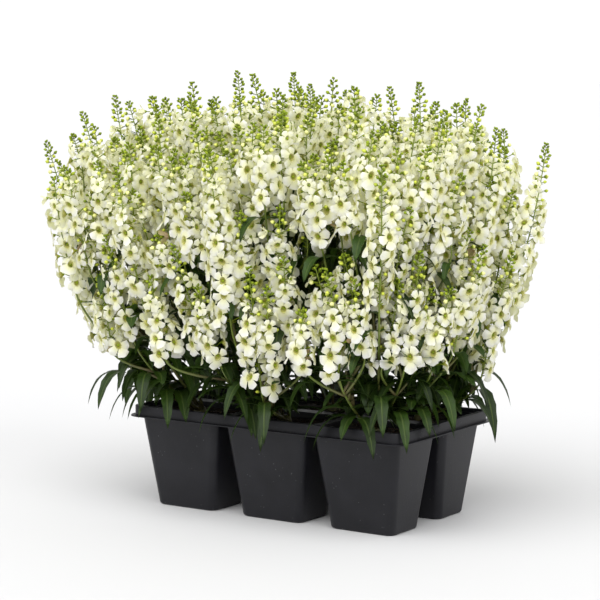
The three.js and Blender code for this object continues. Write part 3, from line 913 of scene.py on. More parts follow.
@dataclass
class Spike:
    """One flower spike's straight line: its base, the top of its florets, its bud tip."""

    base: Array
    top: Array
    tip: Array

    @property
    def axis(self) -> Array:
        """The way that it points."""
        return unit(self.tip - self.base)

    @classmethod
    def from_node(cls, node: str, spire: float) -> "Spike":
        """Reads a packed spike's line from the three-sided bore that its stem runs in.

        Args:
            node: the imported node's name.
            spire: the length of the buds above the florets.

        Returns:
            The spike.
        """
        points = packed_points(node)
        middle = points.mean(axis=0)
        axis = np.linalg.svd(points - middle, full_matrices=False)[2][0]
        axis *= np.sign(axis[2])
        sides, rounds = 3, 3
        for _ in range(rounds):
            along = (points - middle) @ axis
            off = np.linalg.norm(points - middle - along[:, None] * axis, axis=1)
            bore = points[np.argsort(off)[: 2 * sides]]
            order = np.argsort(bore @ axis)
            base, top = bore[order[:sides]].mean(axis=0), bore[order[sides:]].mean(axis=0)
            middle, axis = (base + top) / 2, unit(top - base)
        return cls(base, top, top + axis * spire)


def packed_points(node: str) -> Array:
    """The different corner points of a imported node."""
    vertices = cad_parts[node].data.vertices
    flat = np.zeros(len(vertices) * 3, np.float32)
    vertices.foreach_get("co", flat)
    return np.unique(flat.reshape(-1, 3), axis=0).astype(float)


@dataclass
class Shoot:
    """A stem from its root, by a bend, to its flower spike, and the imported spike's node if any."""

    root: Array
    bend: Array
    spike: Spike
    cell: Cell
    node: str | None = None

    def stem(self, share: Array) -> Array:
        """Points of the stem below the spike, at shares of its way."""
        return bezier(self.root, self.bend, self.spike.base, share)


@dataclass
class Rachis:
    """A spike's slightly bowed axis, with its pairs set crosswise up it."""

    spike: Spike
    bow: Array
    start: float

    def __post_init__(self) -> None:
        """Works out the lengths and the two directions across."""
        self.axis = self.spike.axis
        self.length = float(np.linalg.norm(self.spike.tip - self.spike.base))
        self.bloom = float(np.linalg.norm(self.spike.top - self.spike.base))
        self.side = unit(np.cross(self.axis, [0.0, 1.0, 0.0]))
        self.other = np.cross(self.axis, self.side)

    def at(self, height: float) -> Array:
        """The place on it at a height above its base."""
        share = height / self.length
        return self.spike.base + self.axis * height + self.bow * math.sin(math.pi * share)

    def out(self, level: int, half: int, stray: float) -> Array:
        """The way that one of a pair points.

        Args:
            level: the pair's number from the base.
            half: 0 or 1, which of the two it is.
            stray: how far it strays from the cross, in radians.

        Returns:
            The direction.
        """
        bearing = self.start + level * math.pi / 2 + half * math.pi + stray
        return self.side * math.cos(bearing) + self.other * math.sin(bearing)


@dataclass
class ShootDresser:
    """Clothes shoots in florets, buds, stalks and bracts."""

    draw: np.random.Generator
    floret: Floret = Floret()
    bud: BudShape = BudShape()
    bract: Bract = Bract()
    pitch: float = 7.8 * MM
    face_reach: float = 10.4 * MM
    face_jitter: float = 1.4 * MM
    spire_pitch: float = 3.1 * MM
    spire_end: float = 0.90
    spire_ease: float = 0.76
    bud_lengths: tuple[float, float] = (3.9 * MM, 2.3 * MM)
    bud_reaches: tuple[float, float] = (4.0 * MM, 0.8 * MM)
    bud_sizes: tuple[float, float] = (0.85, 1.15)
    bud_spreads: tuple[float, float] = (0.75, 1.3)
    bud_stray: float = 0.3
    bud_tones: tuple[float, float] = (0.2, 1.1)
    bud_bract: float = 1.35
    ripeness: tuple[float, float] = (0.7, 1.3)
    ripe_fall: float = 1.9
    stem_radius: float = 1.35 * MM
    rachis_radius: float = 0.75 * MM
    rachis_tip: float = 0.4 * MM
    stem_rows: int = 11
    rachis_rows: int = 9
    stem_sides: int = 5
    stem_end: float = 0.96
    bow: float = 2.5 * MM
    crowding: float = 6.5 * MM
    outward: float = 0.35
    dark_below: float = 255 * MM
    dark_within: float = 0.48
    largest: float = 1.09
    dwindling: float = 0.2
    sizes: tuple[float, float] = (0.84, 1.1)
    bearing_stray: float = 0.2
    face_stray: float = 0.3
    roll: float = 0.32
    face_lift: float = 3.0 * MM
    foot_stray: float = 1.0 * MM
    young_from: float = 0.84
    young_shrinking: float = 0.25
    opening_from: float = 0.94
    spent_share: float = 0.02
    spent_below: float = 0.5
    spent_age: float = 0.9
    fallen_share: float = 0.09
    fallen_below: float = 0.4
    late_bud: tuple[float, float] = (3.4 * MM, 1.6 * MM)
    late_look: tuple[float, float] = (0.5, 0.8)
    bract_length: float = 5.2 * MM
    bract_drop: float = 1.5 * MM
    bract_tones: tuple[float, float] = (0.1, 1.2)
    calyx: tuple[float, float] = (0.9 * MM, 1.9 * MM)
    calyx_radii: tuple[float, ...] = (0.4 * MM, 0.45 * MM, 1.4 * MM, 1.6 * MM)
    calyx_tones: tuple[float, float] = (0.3, 1.0)
    tip_bud: tuple[float, float] = (2.2 * MM, 1.1 * MM)
    tip_drop: float = 2.9 * MM
    most_florets: int = 6000

    def __post_init__(self) -> None:
        """Starts with no floret placed."""
        self.faces = np.zeros((self.most_florets, 3))
        self.placed = 0

    def dress(self, shoot: Shoot, blooms: Batch, greens: Batch) -> None:
        """Adds everything that the shoot carries above its leaves.

        Args:
            shoot: the shoot.
            blooms: the mesh that takes its petals.
            greens: the mesh that takes its stem and buds.
        """
        bow = self.draw.normal(0, 1, 3) * self.bow * np.array([1.0, 1.0, 0.0])
        rachis = Rachis(shoot.spike, bow, self.draw.uniform(0, math.tau))
        self.add_stem(shoot, rachis, greens)
        levels = max(2, round(rachis.bloom / self.pitch))
        for level in range(levels):
            for half in (0, 1):
                self.add_floret(rachis, level, levels, half, blooms, greens)
        self.add_spire(rachis, levels, greens)

    def add_stem(self, shoot: Shoot, rachis: Rachis, greens: Batch) -> None:
        """Adds the stem and the rachis as one tapering tube.

        Args:
            shoot: the shoot.
            rachis: its spike's axis.
            greens: the mesh that takes the tube.
        """
        rows = self.stem_rows + self.rachis_rows
        below = shoot.stem(np.linspace(0.0, self.stem_end, self.stem_rows))
        heights = np.linspace(0.0, rachis.length * self.stem_end, self.rachis_rows)
        above = [rachis.at(height) for height in heights]
        low = np.linspace(self.stem_radius, self.rachis_radius, self.stem_rows)
        high = np.linspace(self.rachis_radius, self.rachis_tip, self.rachis_rows)
        marks = np.zeros((rows, 3))
        marks[:, 0] = np.linspace(0, 1, rows)
        marks[:, 2] = self.draw.uniform()
        line = np.concatenate([below, above])
        radii = np.concatenate([low, high])
        greens.add(tube(line, radii, self.stem_sides, marks), Green.STEM)

    def add_floret(
        self, rachis: Rachis, level: int, levels: int, half: int, blooms: Batch, greens: Batch
    ) -> None:
        """Adds one floret, or a late bud where a floret has no room.

        Args:
            rachis: the axis that it grows on.
            level: its pair's number from the base.
            levels: how many pairs the spike has.
            half: which of the pair it is.
            blooms: the mesh that takes the petals.
            greens: the mesh that takes the stalks.
        """
        share = (level + 0.5) / levels
        axis = rachis.axis
        out = rachis.out(level, half, self.draw.normal(0, self.bearing_stray))
        size = (self.largest - self.dwindling * share**2) * self.draw.uniform(*self.sizes)
        reach = self.face_reach * size + self.draw.uniform(-1, 1) * self.face_jitter
        foot = rachis.at(rachis.bloom * share + self.draw.normal(0, self.foot_stray))
        face = foot + out * reach + axis * self.face_lift
        aside = np.cross(axis, out)
        stray = self.draw.normal(0, self.face_stray, 2)
        tilt = axis * stray[0] + aside * stray[1]
        facing = unit(out + tilt + unit(foot * [1.0, 1.0, 0.0]) * self.outward)
        roll = self.draw.normal(0, self.roll)
        upward = unit(axis - facing * (axis @ facing))
        turned = upward * math.cos(roll) + np.cross(upward, facing) * math.sin(roll)
        axes = np.array([np.cross(turned, facing), turned, facing])
        spent = share < self.spent_below and self.draw.uniform() < self.spent_share
        fallen = share < self.fallen_below and self.draw.uniform() < self.fallen_share
        young = max(0.0, share - self.young_from) / (1 - self.young_from)
        stage = Stage.SPENT if spent else Stage.OPENING if share > self.opening_from else Stage.OPEN
        size *= 1 - self.young_shrinking * young
        age = self.spent_age if spent else -young
        patch = self.floret.patch(size, stage, age, self.draw).placed(face, axes)
        self.add_bract(greens, foot - axis * self.bract_drop, out, axis, self.bract_length)
        if self.buried(face):
            return
        if fallen or self.crowded(face) or not within_cad(patch.points):
            heart = foot + (face - foot) * 0.5
            self.bud.add_to(greens, foot, heart, self.late_bud, self.late_look)
            return
        self.faces[self.placed] = face
        self.placed += 1
        blooms.add(patch)
        self.add_stalk(greens, foot, face - facing * self.floret.pouch * size * 1.05, facing)

    def buried(self, face: Array) -> bool:
        """Whether a place is deep in the mound, where nothing is seen and nothing flowers."""
        half = np.array([CAD_BOX[1].x, CAD_BOX[1].y])
        return face[2] < self.dark_below and ((face[:2] / half) ** 2).sum() < self.dark_within**2

    def crowded(self, face: Array) -> bool:
        """Whether another floret's face stands too near to a place."""
        known = self.faces[: self.placed]
        return bool(len(known)) and bool(((known - face) ** 2).sum(1).min() < self.crowding**2)

    def add_stalk(self, greens: Batch, foot: Array, back: Array, facing: Array) -> None:
        """Adds a floret's stalk and calyx.

        Args:
            greens: the mesh that takes them.
            foot: where the stalk leaves the rachis.
            back: the back of the floret's throat.
            facing: the way that the floret looks.
        """
        tone = self.draw.uniform(*self.calyx_tones)
        behind, before = self.calyx
        line = np.array([foot, back - facing * behind, back, back + facing * before])
        marks = np.array([[0.5, 0.1, tone]] * len(line))
        greens.add(tube(line, np.array(self.calyx_radii), 3, marks), Green.BUD)

    def add_bract(self, greens: Batch, foot: Array, out: Array, axis: Array, length: float) -> None:
        """Adds the bract under a stalk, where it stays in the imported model's box.

        Args:
            greens: the mesh that takes it.
            foot: where it grows.
            out: the way that it points.
            axis: the way that the spike points.
            length: its length.
        """
        tone = self.draw.uniform(*self.bract_tones)
        patch = self.bract.patch(foot, out, axis, length, tone)
        if within_cad(patch.points):
            greens.add(patch, Green.BUD)

    def add_spire(self, rachis: Rachis, levels: int, greens: Batch) -> None:
        """Adds the buds above the florets, in crossed pairs that shrink to a tight tip.

        Args:
            rachis: the axis that they grow on.
            levels: how many pairs of florets stand below.
            greens: the mesh that takes the buds.
        """
        spire = rachis.length - rachis.bloom
        low_long, high_long = self.bud_lengths
        low_reach, high_reach = self.bud_reaches
        count = max(6, round(spire / self.spire_pitch))
        for level in range(count):
            share = level / (count - 1)
            foot = rachis.at(rachis.bloom + spire * self.spire_end * share**self.spire_ease)
            ripe = max(0.0, 1.0 - share * self.ripe_fall) * self.draw.uniform(*self.ripeness)
            long = low_long + (high_long - low_long) * share
            for half in (0, 1):
                out = rachis.out(levels + level, half, self.draw.normal(0, self.bud_stray))
                reach = high_reach + (low_reach - high_reach) * (1 - share) ** 0.8
                reach *= self.draw.uniform(*self.bud_spreads)
                heart = foot + (out + rachis.axis * (0.3 + 0.5 * share)) * reach
                size = (long * self.draw.uniform(*self.bud_sizes), long * (0.5 + 0.04 * ripe))
                look = (ripe, self.draw.uniform(*self.bud_tones) * (1 - 0.5 * share**2))
                self.bud.add_to(greens, foot, heart, size, look)
                self.add_bract(greens, foot, out, rachis.axis, self.bud_bract * long)
        top = rachis.at(rachis.length - self.tip_drop)
        self.bud.add_to(greens, top - rachis.axis * MM, top, self.tip_bud, (0.0, 0.5))


# The plants


@dataclass
class Plant:
    """One cell's plant: its crown, its packed shoots and leaves, and side shoots between them."""

    cell: Cell
    feet_radius: float = 3.9 * MM
    crown_top: float = 85 * MM
    feet_depth: float = 3 * MM
    stem_bend: float = 0.4
    spire: float = 31 * MM
    keel_drop: float = 1.4 * MM
    spire_clear: float = 11 * MM
    leaf_stations: tuple[float, ...] = (1.0, 0.8, 0.6, 0.4, 0.2, 0.0)
    leaf_corners: int = 3
    shoots: list[Shoot] = field(default_factory=list)

    def __post_init__(self) -> None:
        """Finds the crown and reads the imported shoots."""
        low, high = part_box(f"soil_{self.cell.value}")
        self.centre = np.array([(low.x + high.x) / 2, (low.y + high.y) / 2, 0.0])
        prefix = f"flowers_{self.cell.value}_"
        names = sorted(
            (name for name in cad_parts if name.startswith(prefix)),
            key=lambda name: int(name.rsplit("_", 1)[1]),
        )
        spikes = [Spike.from_node(name, self.spire) for name in names]
        first = spikes[0].tip - self.centre
        start = math.atan2(first[1], first[0])
        for k, (name, spike) in enumerate(zip(names, spikes)):
            turn = start + math.tau * k / len(spikes)
            ring = np.array([math.cos(turn), math.sin(turn), 0.0]) * self.feet_radius
            root = self.centre + ring + UP * (self.crown_top - self.feet_depth)
            rise = self.stem_bend * (spike.base[2] - root[2]) / spike.axis[2]
            bend = spike.base - spike.axis * rise
            self.shoots.append(Shoot(root, bend, spike, self.cell, name))

    def packed_leaves(self) -> list[tuple[Array, Array, float]]:
        """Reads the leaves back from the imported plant: a tip, then a ring at each station.

        Returns:
            For each leaf the midrib's coefficients, the direction across and the half width.
        """
        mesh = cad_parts[f"plant_{self.cell.value}"].data
        raw = np.array([vertex.co for vertex in mesh.vertices])
        points, number = np.unique(raw, axis=0, return_inverse=True)
        near: list[set[int]] = [set() for _ in points]
        for polygon in mesh.polygons:
            meeting = [int(number.ravel()[k]) for k in polygon.vertices]
            for corner in meeting:
                near[corner].update(c for c in meeting if c != corner)
        tops = np.array([shoot.spike.top for shoot in self.shoots])
        tips = np.array([shoot.spike.tip for shoot in self.shoots])
        leaves = []
        corners, stations = self.leaf_corners, len(self.leaf_stations) - 1
        for tip, around in enumerate(near):
            beside = nearest_on_segments(points[tip], tops, tips).min()
            if len(around) != corners or beside < self.spire_clear:
                continue
            rings, passed = [], {tip}
            ring = set(around)
            while len(ring) == corners and len(rings) < stations:
                rings.append(points[sorted(ring)])
                passed |= ring
                ring = set().union(*(near[k] for k in ring)) - passed
            if len(rings) == stations:
                leaves.append(self.leaf_from(points[tip], rings))
        return leaves

    def leaf_from(self, tip: Array, rings: Sequence[Array]) -> tuple[Array, Array, float]:
        """Fits a leaf to its rings.

        Args:
            tip: the leaf's tip.
            rings: three corners at each station from the tip down, the last on the stem.

        Returns:
            The midrib's coefficients, the direction across and the half width.
        """
        centres, widths = [tip], []
        for ring in rings[:-1]:
            gaps = [np.linalg.norm(ring[(k + 1) % 3] - ring[(k + 2) % 3]) for k in range(3)]
            keel = int(np.argmax(gaps))
            centres.append(ring[keel] + UP * self.keel_drop)
            widths.append((max(gaps), ring[(keel + 1) % 3] - ring[(keel + 2) % 3]))
        centres.append(rings[-1].mean(axis=0))
        wide, side = max(widths, key=lambda pair: pair[0])
        midrib = np.polyfit(self.leaf_stations, np.array(centres), 2)
        return midrib, unit(side), wide / 2


@dataclass
class Tray:
    """The outer sizes of the pack, which leaves keep clear of."""

    margin: float = 1.5 * MM

    def __post_init__(self) -> None:
        """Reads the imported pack's box."""
        low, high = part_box("cell_pack")
        self.centre = np.array([(low.x + high.x) / 2, (low.y + high.y) / 2, 0.0])
        self.half = np.array([(high.x - low.x) / 2, (high.y - low.y) / 2])
        self.top = high.z

    def blocks(self, points: Array) -> bool:
        """Whether any of the points lies inside the rim's footprint and below its top."""
        inside = (np.abs(points[:, :2] - self.centre[:2]) < self.half + self.margin).all(axis=1)
        return bool((inside & (points[:, 2] < self.top + self.margin)).any())


@dataclass(frozen=True)
class MoundForm:
    """The mound's outline: a rounded oblong that narrows towards the pack, and shifts over it."""

    foot: tuple[float, float]
    power: float = 3.0
    heights: tuple[float, ...] = (0.09, 0.105, 0.126, 0.161, 0.195, 0.238, 0.283)
    shares: tuple[float, ...] = (0.66, 0.71, 0.77, 0.85, 0.92, 0.97, 1.0)

    def centre(self, height: Array | float) -> Array:
        """The outline's middle at a height, over the pack low down and over the box above."""
        low = np.clip((self.heights[-1] - height) / (self.heights[-1] - self.heights[0]), 0, 1)
        return np.multiply.outer(low, np.array(self.foot))

    def edge(self, bearing: float, height: float, inset: float) -> Array:
        """The outline's place from its middle, at a bearing and a height, moved in by an inset."""
        heading = np.array([math.cos(bearing), math.sin(bearing)])
        heading /= (np.abs(heading) ** self.power).sum() ** (1 / self.power)
        half = np.array([CAD_BOX[1].x, CAD_BOX[1].y]) - inset
        return heading * half * np.interp(height, self.heights, self.shares)

    def holds(self, points: Array) -> bool:
        """Whether all of the points lie inside the outline."""
        half = np.array([CAD_BOX[1].x, CAD_BOX[1].y])
        off = np.abs(points[:, :2] - self.centre(points[:, 2])) / half
        out = (off**self.power).sum(axis=1) ** (1 / self.power)
        return bool((out < np.interp(points[:, 2], self.heights, self.shares)).all())


@dataclass
class Foliage:
    """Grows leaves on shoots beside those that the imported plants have."""

    draw: np.random.Generator
    tray: Tray
    form: MoundForm
    blade: Blade = Blade()
    lengths: tuple[float, float] = (34 * MM, 50 * MM)
    shortening: tuple[float, float] = (1.05, 0.35)
    slimness: float = 0.155
    main_nodes: tuple[float, ...] = (0.12, 0.24, 0.36, 0.48, 0.62, 0.78, 0.93)
    side_nodes: tuple[float, ...] = (0.35, 0.8)
    droops: tuple[float, ...] = (0.95, 0.6, 1.2, 0.3)
    pull: float = 0.3
    rise: float = 0.45
    sway: float = 0.08
    bearing_stray: float = 0.3
    widths: tuple[float, float] = (0.9, 1.15)
    tones: tuple[float, float] = (0.0, 0.6)
    brightening: float = 0.3
    lowest: float = 76 * MM
    foot_points: int = 8

    def add_packed(self, plant: Plant, greens: Batch) -> int:
        """Adds the plant's packed leaves and returns how many there are."""
        leaves = plant.packed_leaves()
        for midrib, side, half_width in leaves:
            tone = self.draw.uniform(*self.tones)
            greens.add(self.blade.patch(midrib, side, half_width, tone), Green.LEAF)
        return len(leaves)

    def add_own(self, shoot: Shoot, greens: Batch) -> None:
        """Grows pairs of leaves up a stem, each hanging clear of the pack.

        Args:
            shoot: the shoot that they grow on.
            greens: the mesh that takes them.
        """
        nodes = self.main_nodes if shoot.node else self.side_nodes
        fullest, shortening = self.shortening
        first = self.draw.uniform(0, math.tau)
        for level, share in enumerate(nodes):
            foot = shoot.stem(np.array([share]))[0]
            for half in (0.0, math.pi):
                stray = self.draw.normal(0, self.bearing_stray)
                bearing = first + level * math.pi / 2 + half + stray
                length = self.draw.uniform(*self.lengths) * (fullest - shortening * share)
                width = length * self.slimness * self.draw.uniform(*self.widths)
                tone = self.draw.uniform(*self.tones) + self.brightening * share
                for droop in self.droops:
                    midrib, side = self.midrib(foot, bearing, length, droop)
                    leaf = self.blade.patch(midrib, side, width, tone)
                    if self.clear(leaf.points):
                        greens.add(leaf, Green.LEAF)
                        break

    def clear(self, points: Array) -> bool:
        """Whether a leaf stays in the mound, above the pack or beside its rim."""
        high = bool((points[:, 2] > self.lowest).all())
        return high and self.form.holds(points) and not self.tray.blocks(points[self.foot_points :])

    def midrib(self, foot: Array, bearing: float, length: float, droop: float) -> tuple[Array, Array]:
        """The curve of a leaf that leaves its stem rising and then hangs.

        Args:
            foot: where it grows.
            bearing: the way that it heads, seen from above.
            length: its length.
            droop: how strongly it hangs.

        Returns:
            The coefficients of its place by the share of its way, and the direction across.
        """
        heading = np.array([math.cos(bearing), math.sin(bearing), 0.0])
        side = np.cross(UP, heading)
        square = -heading * length * self.pull * droop - UP * length * droop
        sway = side * length * self.draw.normal(0, self.sway)
        return np.array([square + sway, heading * length + UP * length * self.rise, foot]), side


@dataclass
class Mound:
    """All six plants together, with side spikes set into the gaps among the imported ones."""

    draw: np.random.Generator
    side_spikes: int = 190
    tries: int = 60
    rim_share: float = 0.86
    outer: tuple[float, float] = (0.9, 1.0)
    inner: tuple[float, float] = (0.0, 0.85)
    inner_drop: tuple[float, float] = (14 * MM, 60 * MM)
    low_tip: float = 183 * MM
    lengths: tuple[float, float] = (60 * MM, 105 * MM)
    spire: tuple[float, float] = (10 * MM, 23 * MM)
    lowest: float = 139 * MM
    inset: float = 13 * MM
    branch: tuple[float, float] = (0.3, 0.75)
    tilt: float = 0.06
    shortest: float = 40 * MM
    sweep: float = 0.25
    most_spire: float = 0.45
    base_slack: float = 8 * MM
    neighbours: int = 4
    parent_weights: tuple[float, ...] = (1.0, 1.0, 0.5)
    probes: tuple[float, ...] = (0.1, 0.5, 0.9)
    crown_heights: tuple[float, ...] = (60, 70, 80, 83, 85.5, 86.5)
    crown_radii: tuple[float, ...] = (4.0, 5.6, 6.3, 6.0, 4.8, 2.5)
    crown_sides: int = 12

    def __post_init__(self) -> None:
        """Makes the plants and gives them their side shoots."""
        self.tray = Tray()
        self.form = MoundForm(tuple(self.tray.centre[:2]))
        self.plants = {cell: Plant(cell) for cell in Cell}
        packed = [shoot for plant in self.plants.values() for shoot in plant.shoots]
        shoots = list(packed)
        for _ in range(self.side_spikes):
            tries = [self.side_shoot(packed) for _ in range(self.tries)]
            clear = [self.clearance(one, shoots) for one in tries]
            best = tries[int(np.argmax(clear))]
            shoots.append(best)
            self.plants[best.cell].shoots.append(best)

    def side_shoot(self, packed: Sequence[Shoot]) -> Shoot:
        """Draws a side shoot that branches from a packed one and stands beside its spike.

        Args:
            packed: the shoots that it may branch from.

        Returns:
            The side shoot.
        """
        edge = self.draw.uniform() < self.rim_share
        away = self.draw.uniform(*(self.outer if edge else self.inner))
        bearing = self.draw.uniform(0, math.tau)
        widest = self.form.edge(bearing, self.form.heights[-1], self.inset)
        tip = np.array([*(widest * away), 0.0])
        tips = np.array([shoot.spike.tip for shoot in packed])
        aside = np.linalg.norm((tips - tip)[:, :2], axis=1)
        crest = tips[np.argsort(aside)[: self.neighbours], 2].max()
        high = crest - self.draw.uniform(*self.inner_drop)
        tip[2] = self.draw.uniform(self.low_tip, high) if edge else high
        tip[:2] = self.form.edge(bearing, tip[2], self.inset) * away + self.form.centre(tip[2])
        apart = np.linalg.norm((tips - tip) * self.parent_weights, axis=1)
        parent = packed[int(np.argmin(apart))]
        axis = unit(parent.spike.axis + self.draw.normal(0, self.tilt, 3))
        length = self.draw.uniform(*self.lengths)
        length = max(min(length, (tip[2] - self.lowest) / axis[2]), self.shortest)
        base = tip - axis * length
        root = parent.stem(np.array([self.draw.uniform(*self.branch)]))[0]
        bend = base - axis * self.sweep * np.linalg.norm(base - root)
        spire = min(self.draw.uniform(*self.spire), length * self.most_spire)
        return Shoot(root, bend, Spike(base, tip - axis * spire, tip), parent.cell)

    def clearance(self, shoot: Shoot, others: Sequence[Shoot]) -> float:
        """How well a side shoot stands clear, or a negative number where it leaves the mound.

        Args:
            shoot: the side shoot.
            others: the shoots that stand already.

        Returns:
            The least distance from its spike to another.
        """
        low, high = (np.array(corner) for corner in CAD_BOX)
        spike = shoot.spike
        inset = np.array([self.inset, self.inset, 0.0])
        for point in (spike.base, spike.tip):
            if (point < low + inset).any() or (point > high - inset).any():
                return -1.0
        if spike.base[2] < self.lowest - self.base_slack:
            return -1.0
        starts = np.array([other.spike.base for other in others])
        ends = np.array([other.spike.tip for other in others])
        places = [spike.base + (spike.tip - spike.base) * share for share in self.probes]
        return float(min(nearest_on_segments(place, starts, ends).min() for place in places))

    def build(self, finishes: Mapping[str, bpy.types.Material]) -> None:
        """Makes every plant's pieces.

        Args:
            finishes: the materials by name.
        """
        dresser = ShootDresser(self.draw)
        foliage = Foliage(self.draw, self.tray, self.form)
        green = [finishes["stem"], finishes["bud"], finishes["leaf"]]
        for cell, plant in self.plants.items():
            greens, side_blooms = Batch(), Batch()
            self.add_crown(plant, greens)
            for shoot in plant.shoots:
                blooms = Batch() if shoot.node else side_blooms
                dresser.dress(shoot, blooms, greens)
                foliage.add_own(shoot, greens)
                if shoot.node:
                    name = shoot.node.replace("flowers", "florets")
                    blooms.build(name, [finishes["petal"]], Slot.PETALS, [shoot.node])
            found = foliage.add_packed(plant, greens)
            LOG.info("%s: %d packed leaves, %d shoots", cell.value, found, len(plant.shoots))
            side_blooms.build(f"side_florets_{cell.value}", [finishes["petal"]], Slot.PETALS)
            greens.build(f"greenery_{cell.value}", green, Slot.GREEN, [f"plant_{cell.value}"])

    def add_crown(self, plant: Plant, greens: Batch) -> None:
        """Adds the knotty crown that a plant's shoots spring from."""
        line = plant.centre + np.outer(np.array(self.crown_heights) * MM, UP)
        count = len(line)
        marks = np.column_stack([np.linspace(0, 0.12, count), np.zeros(count), np.full(count, 0.3)])
        radii = np.array(self.crown_radii) * MM
        greens.add(tube(line, radii, self.crown_sides, marks), Green.STEM)


# Pack and soil


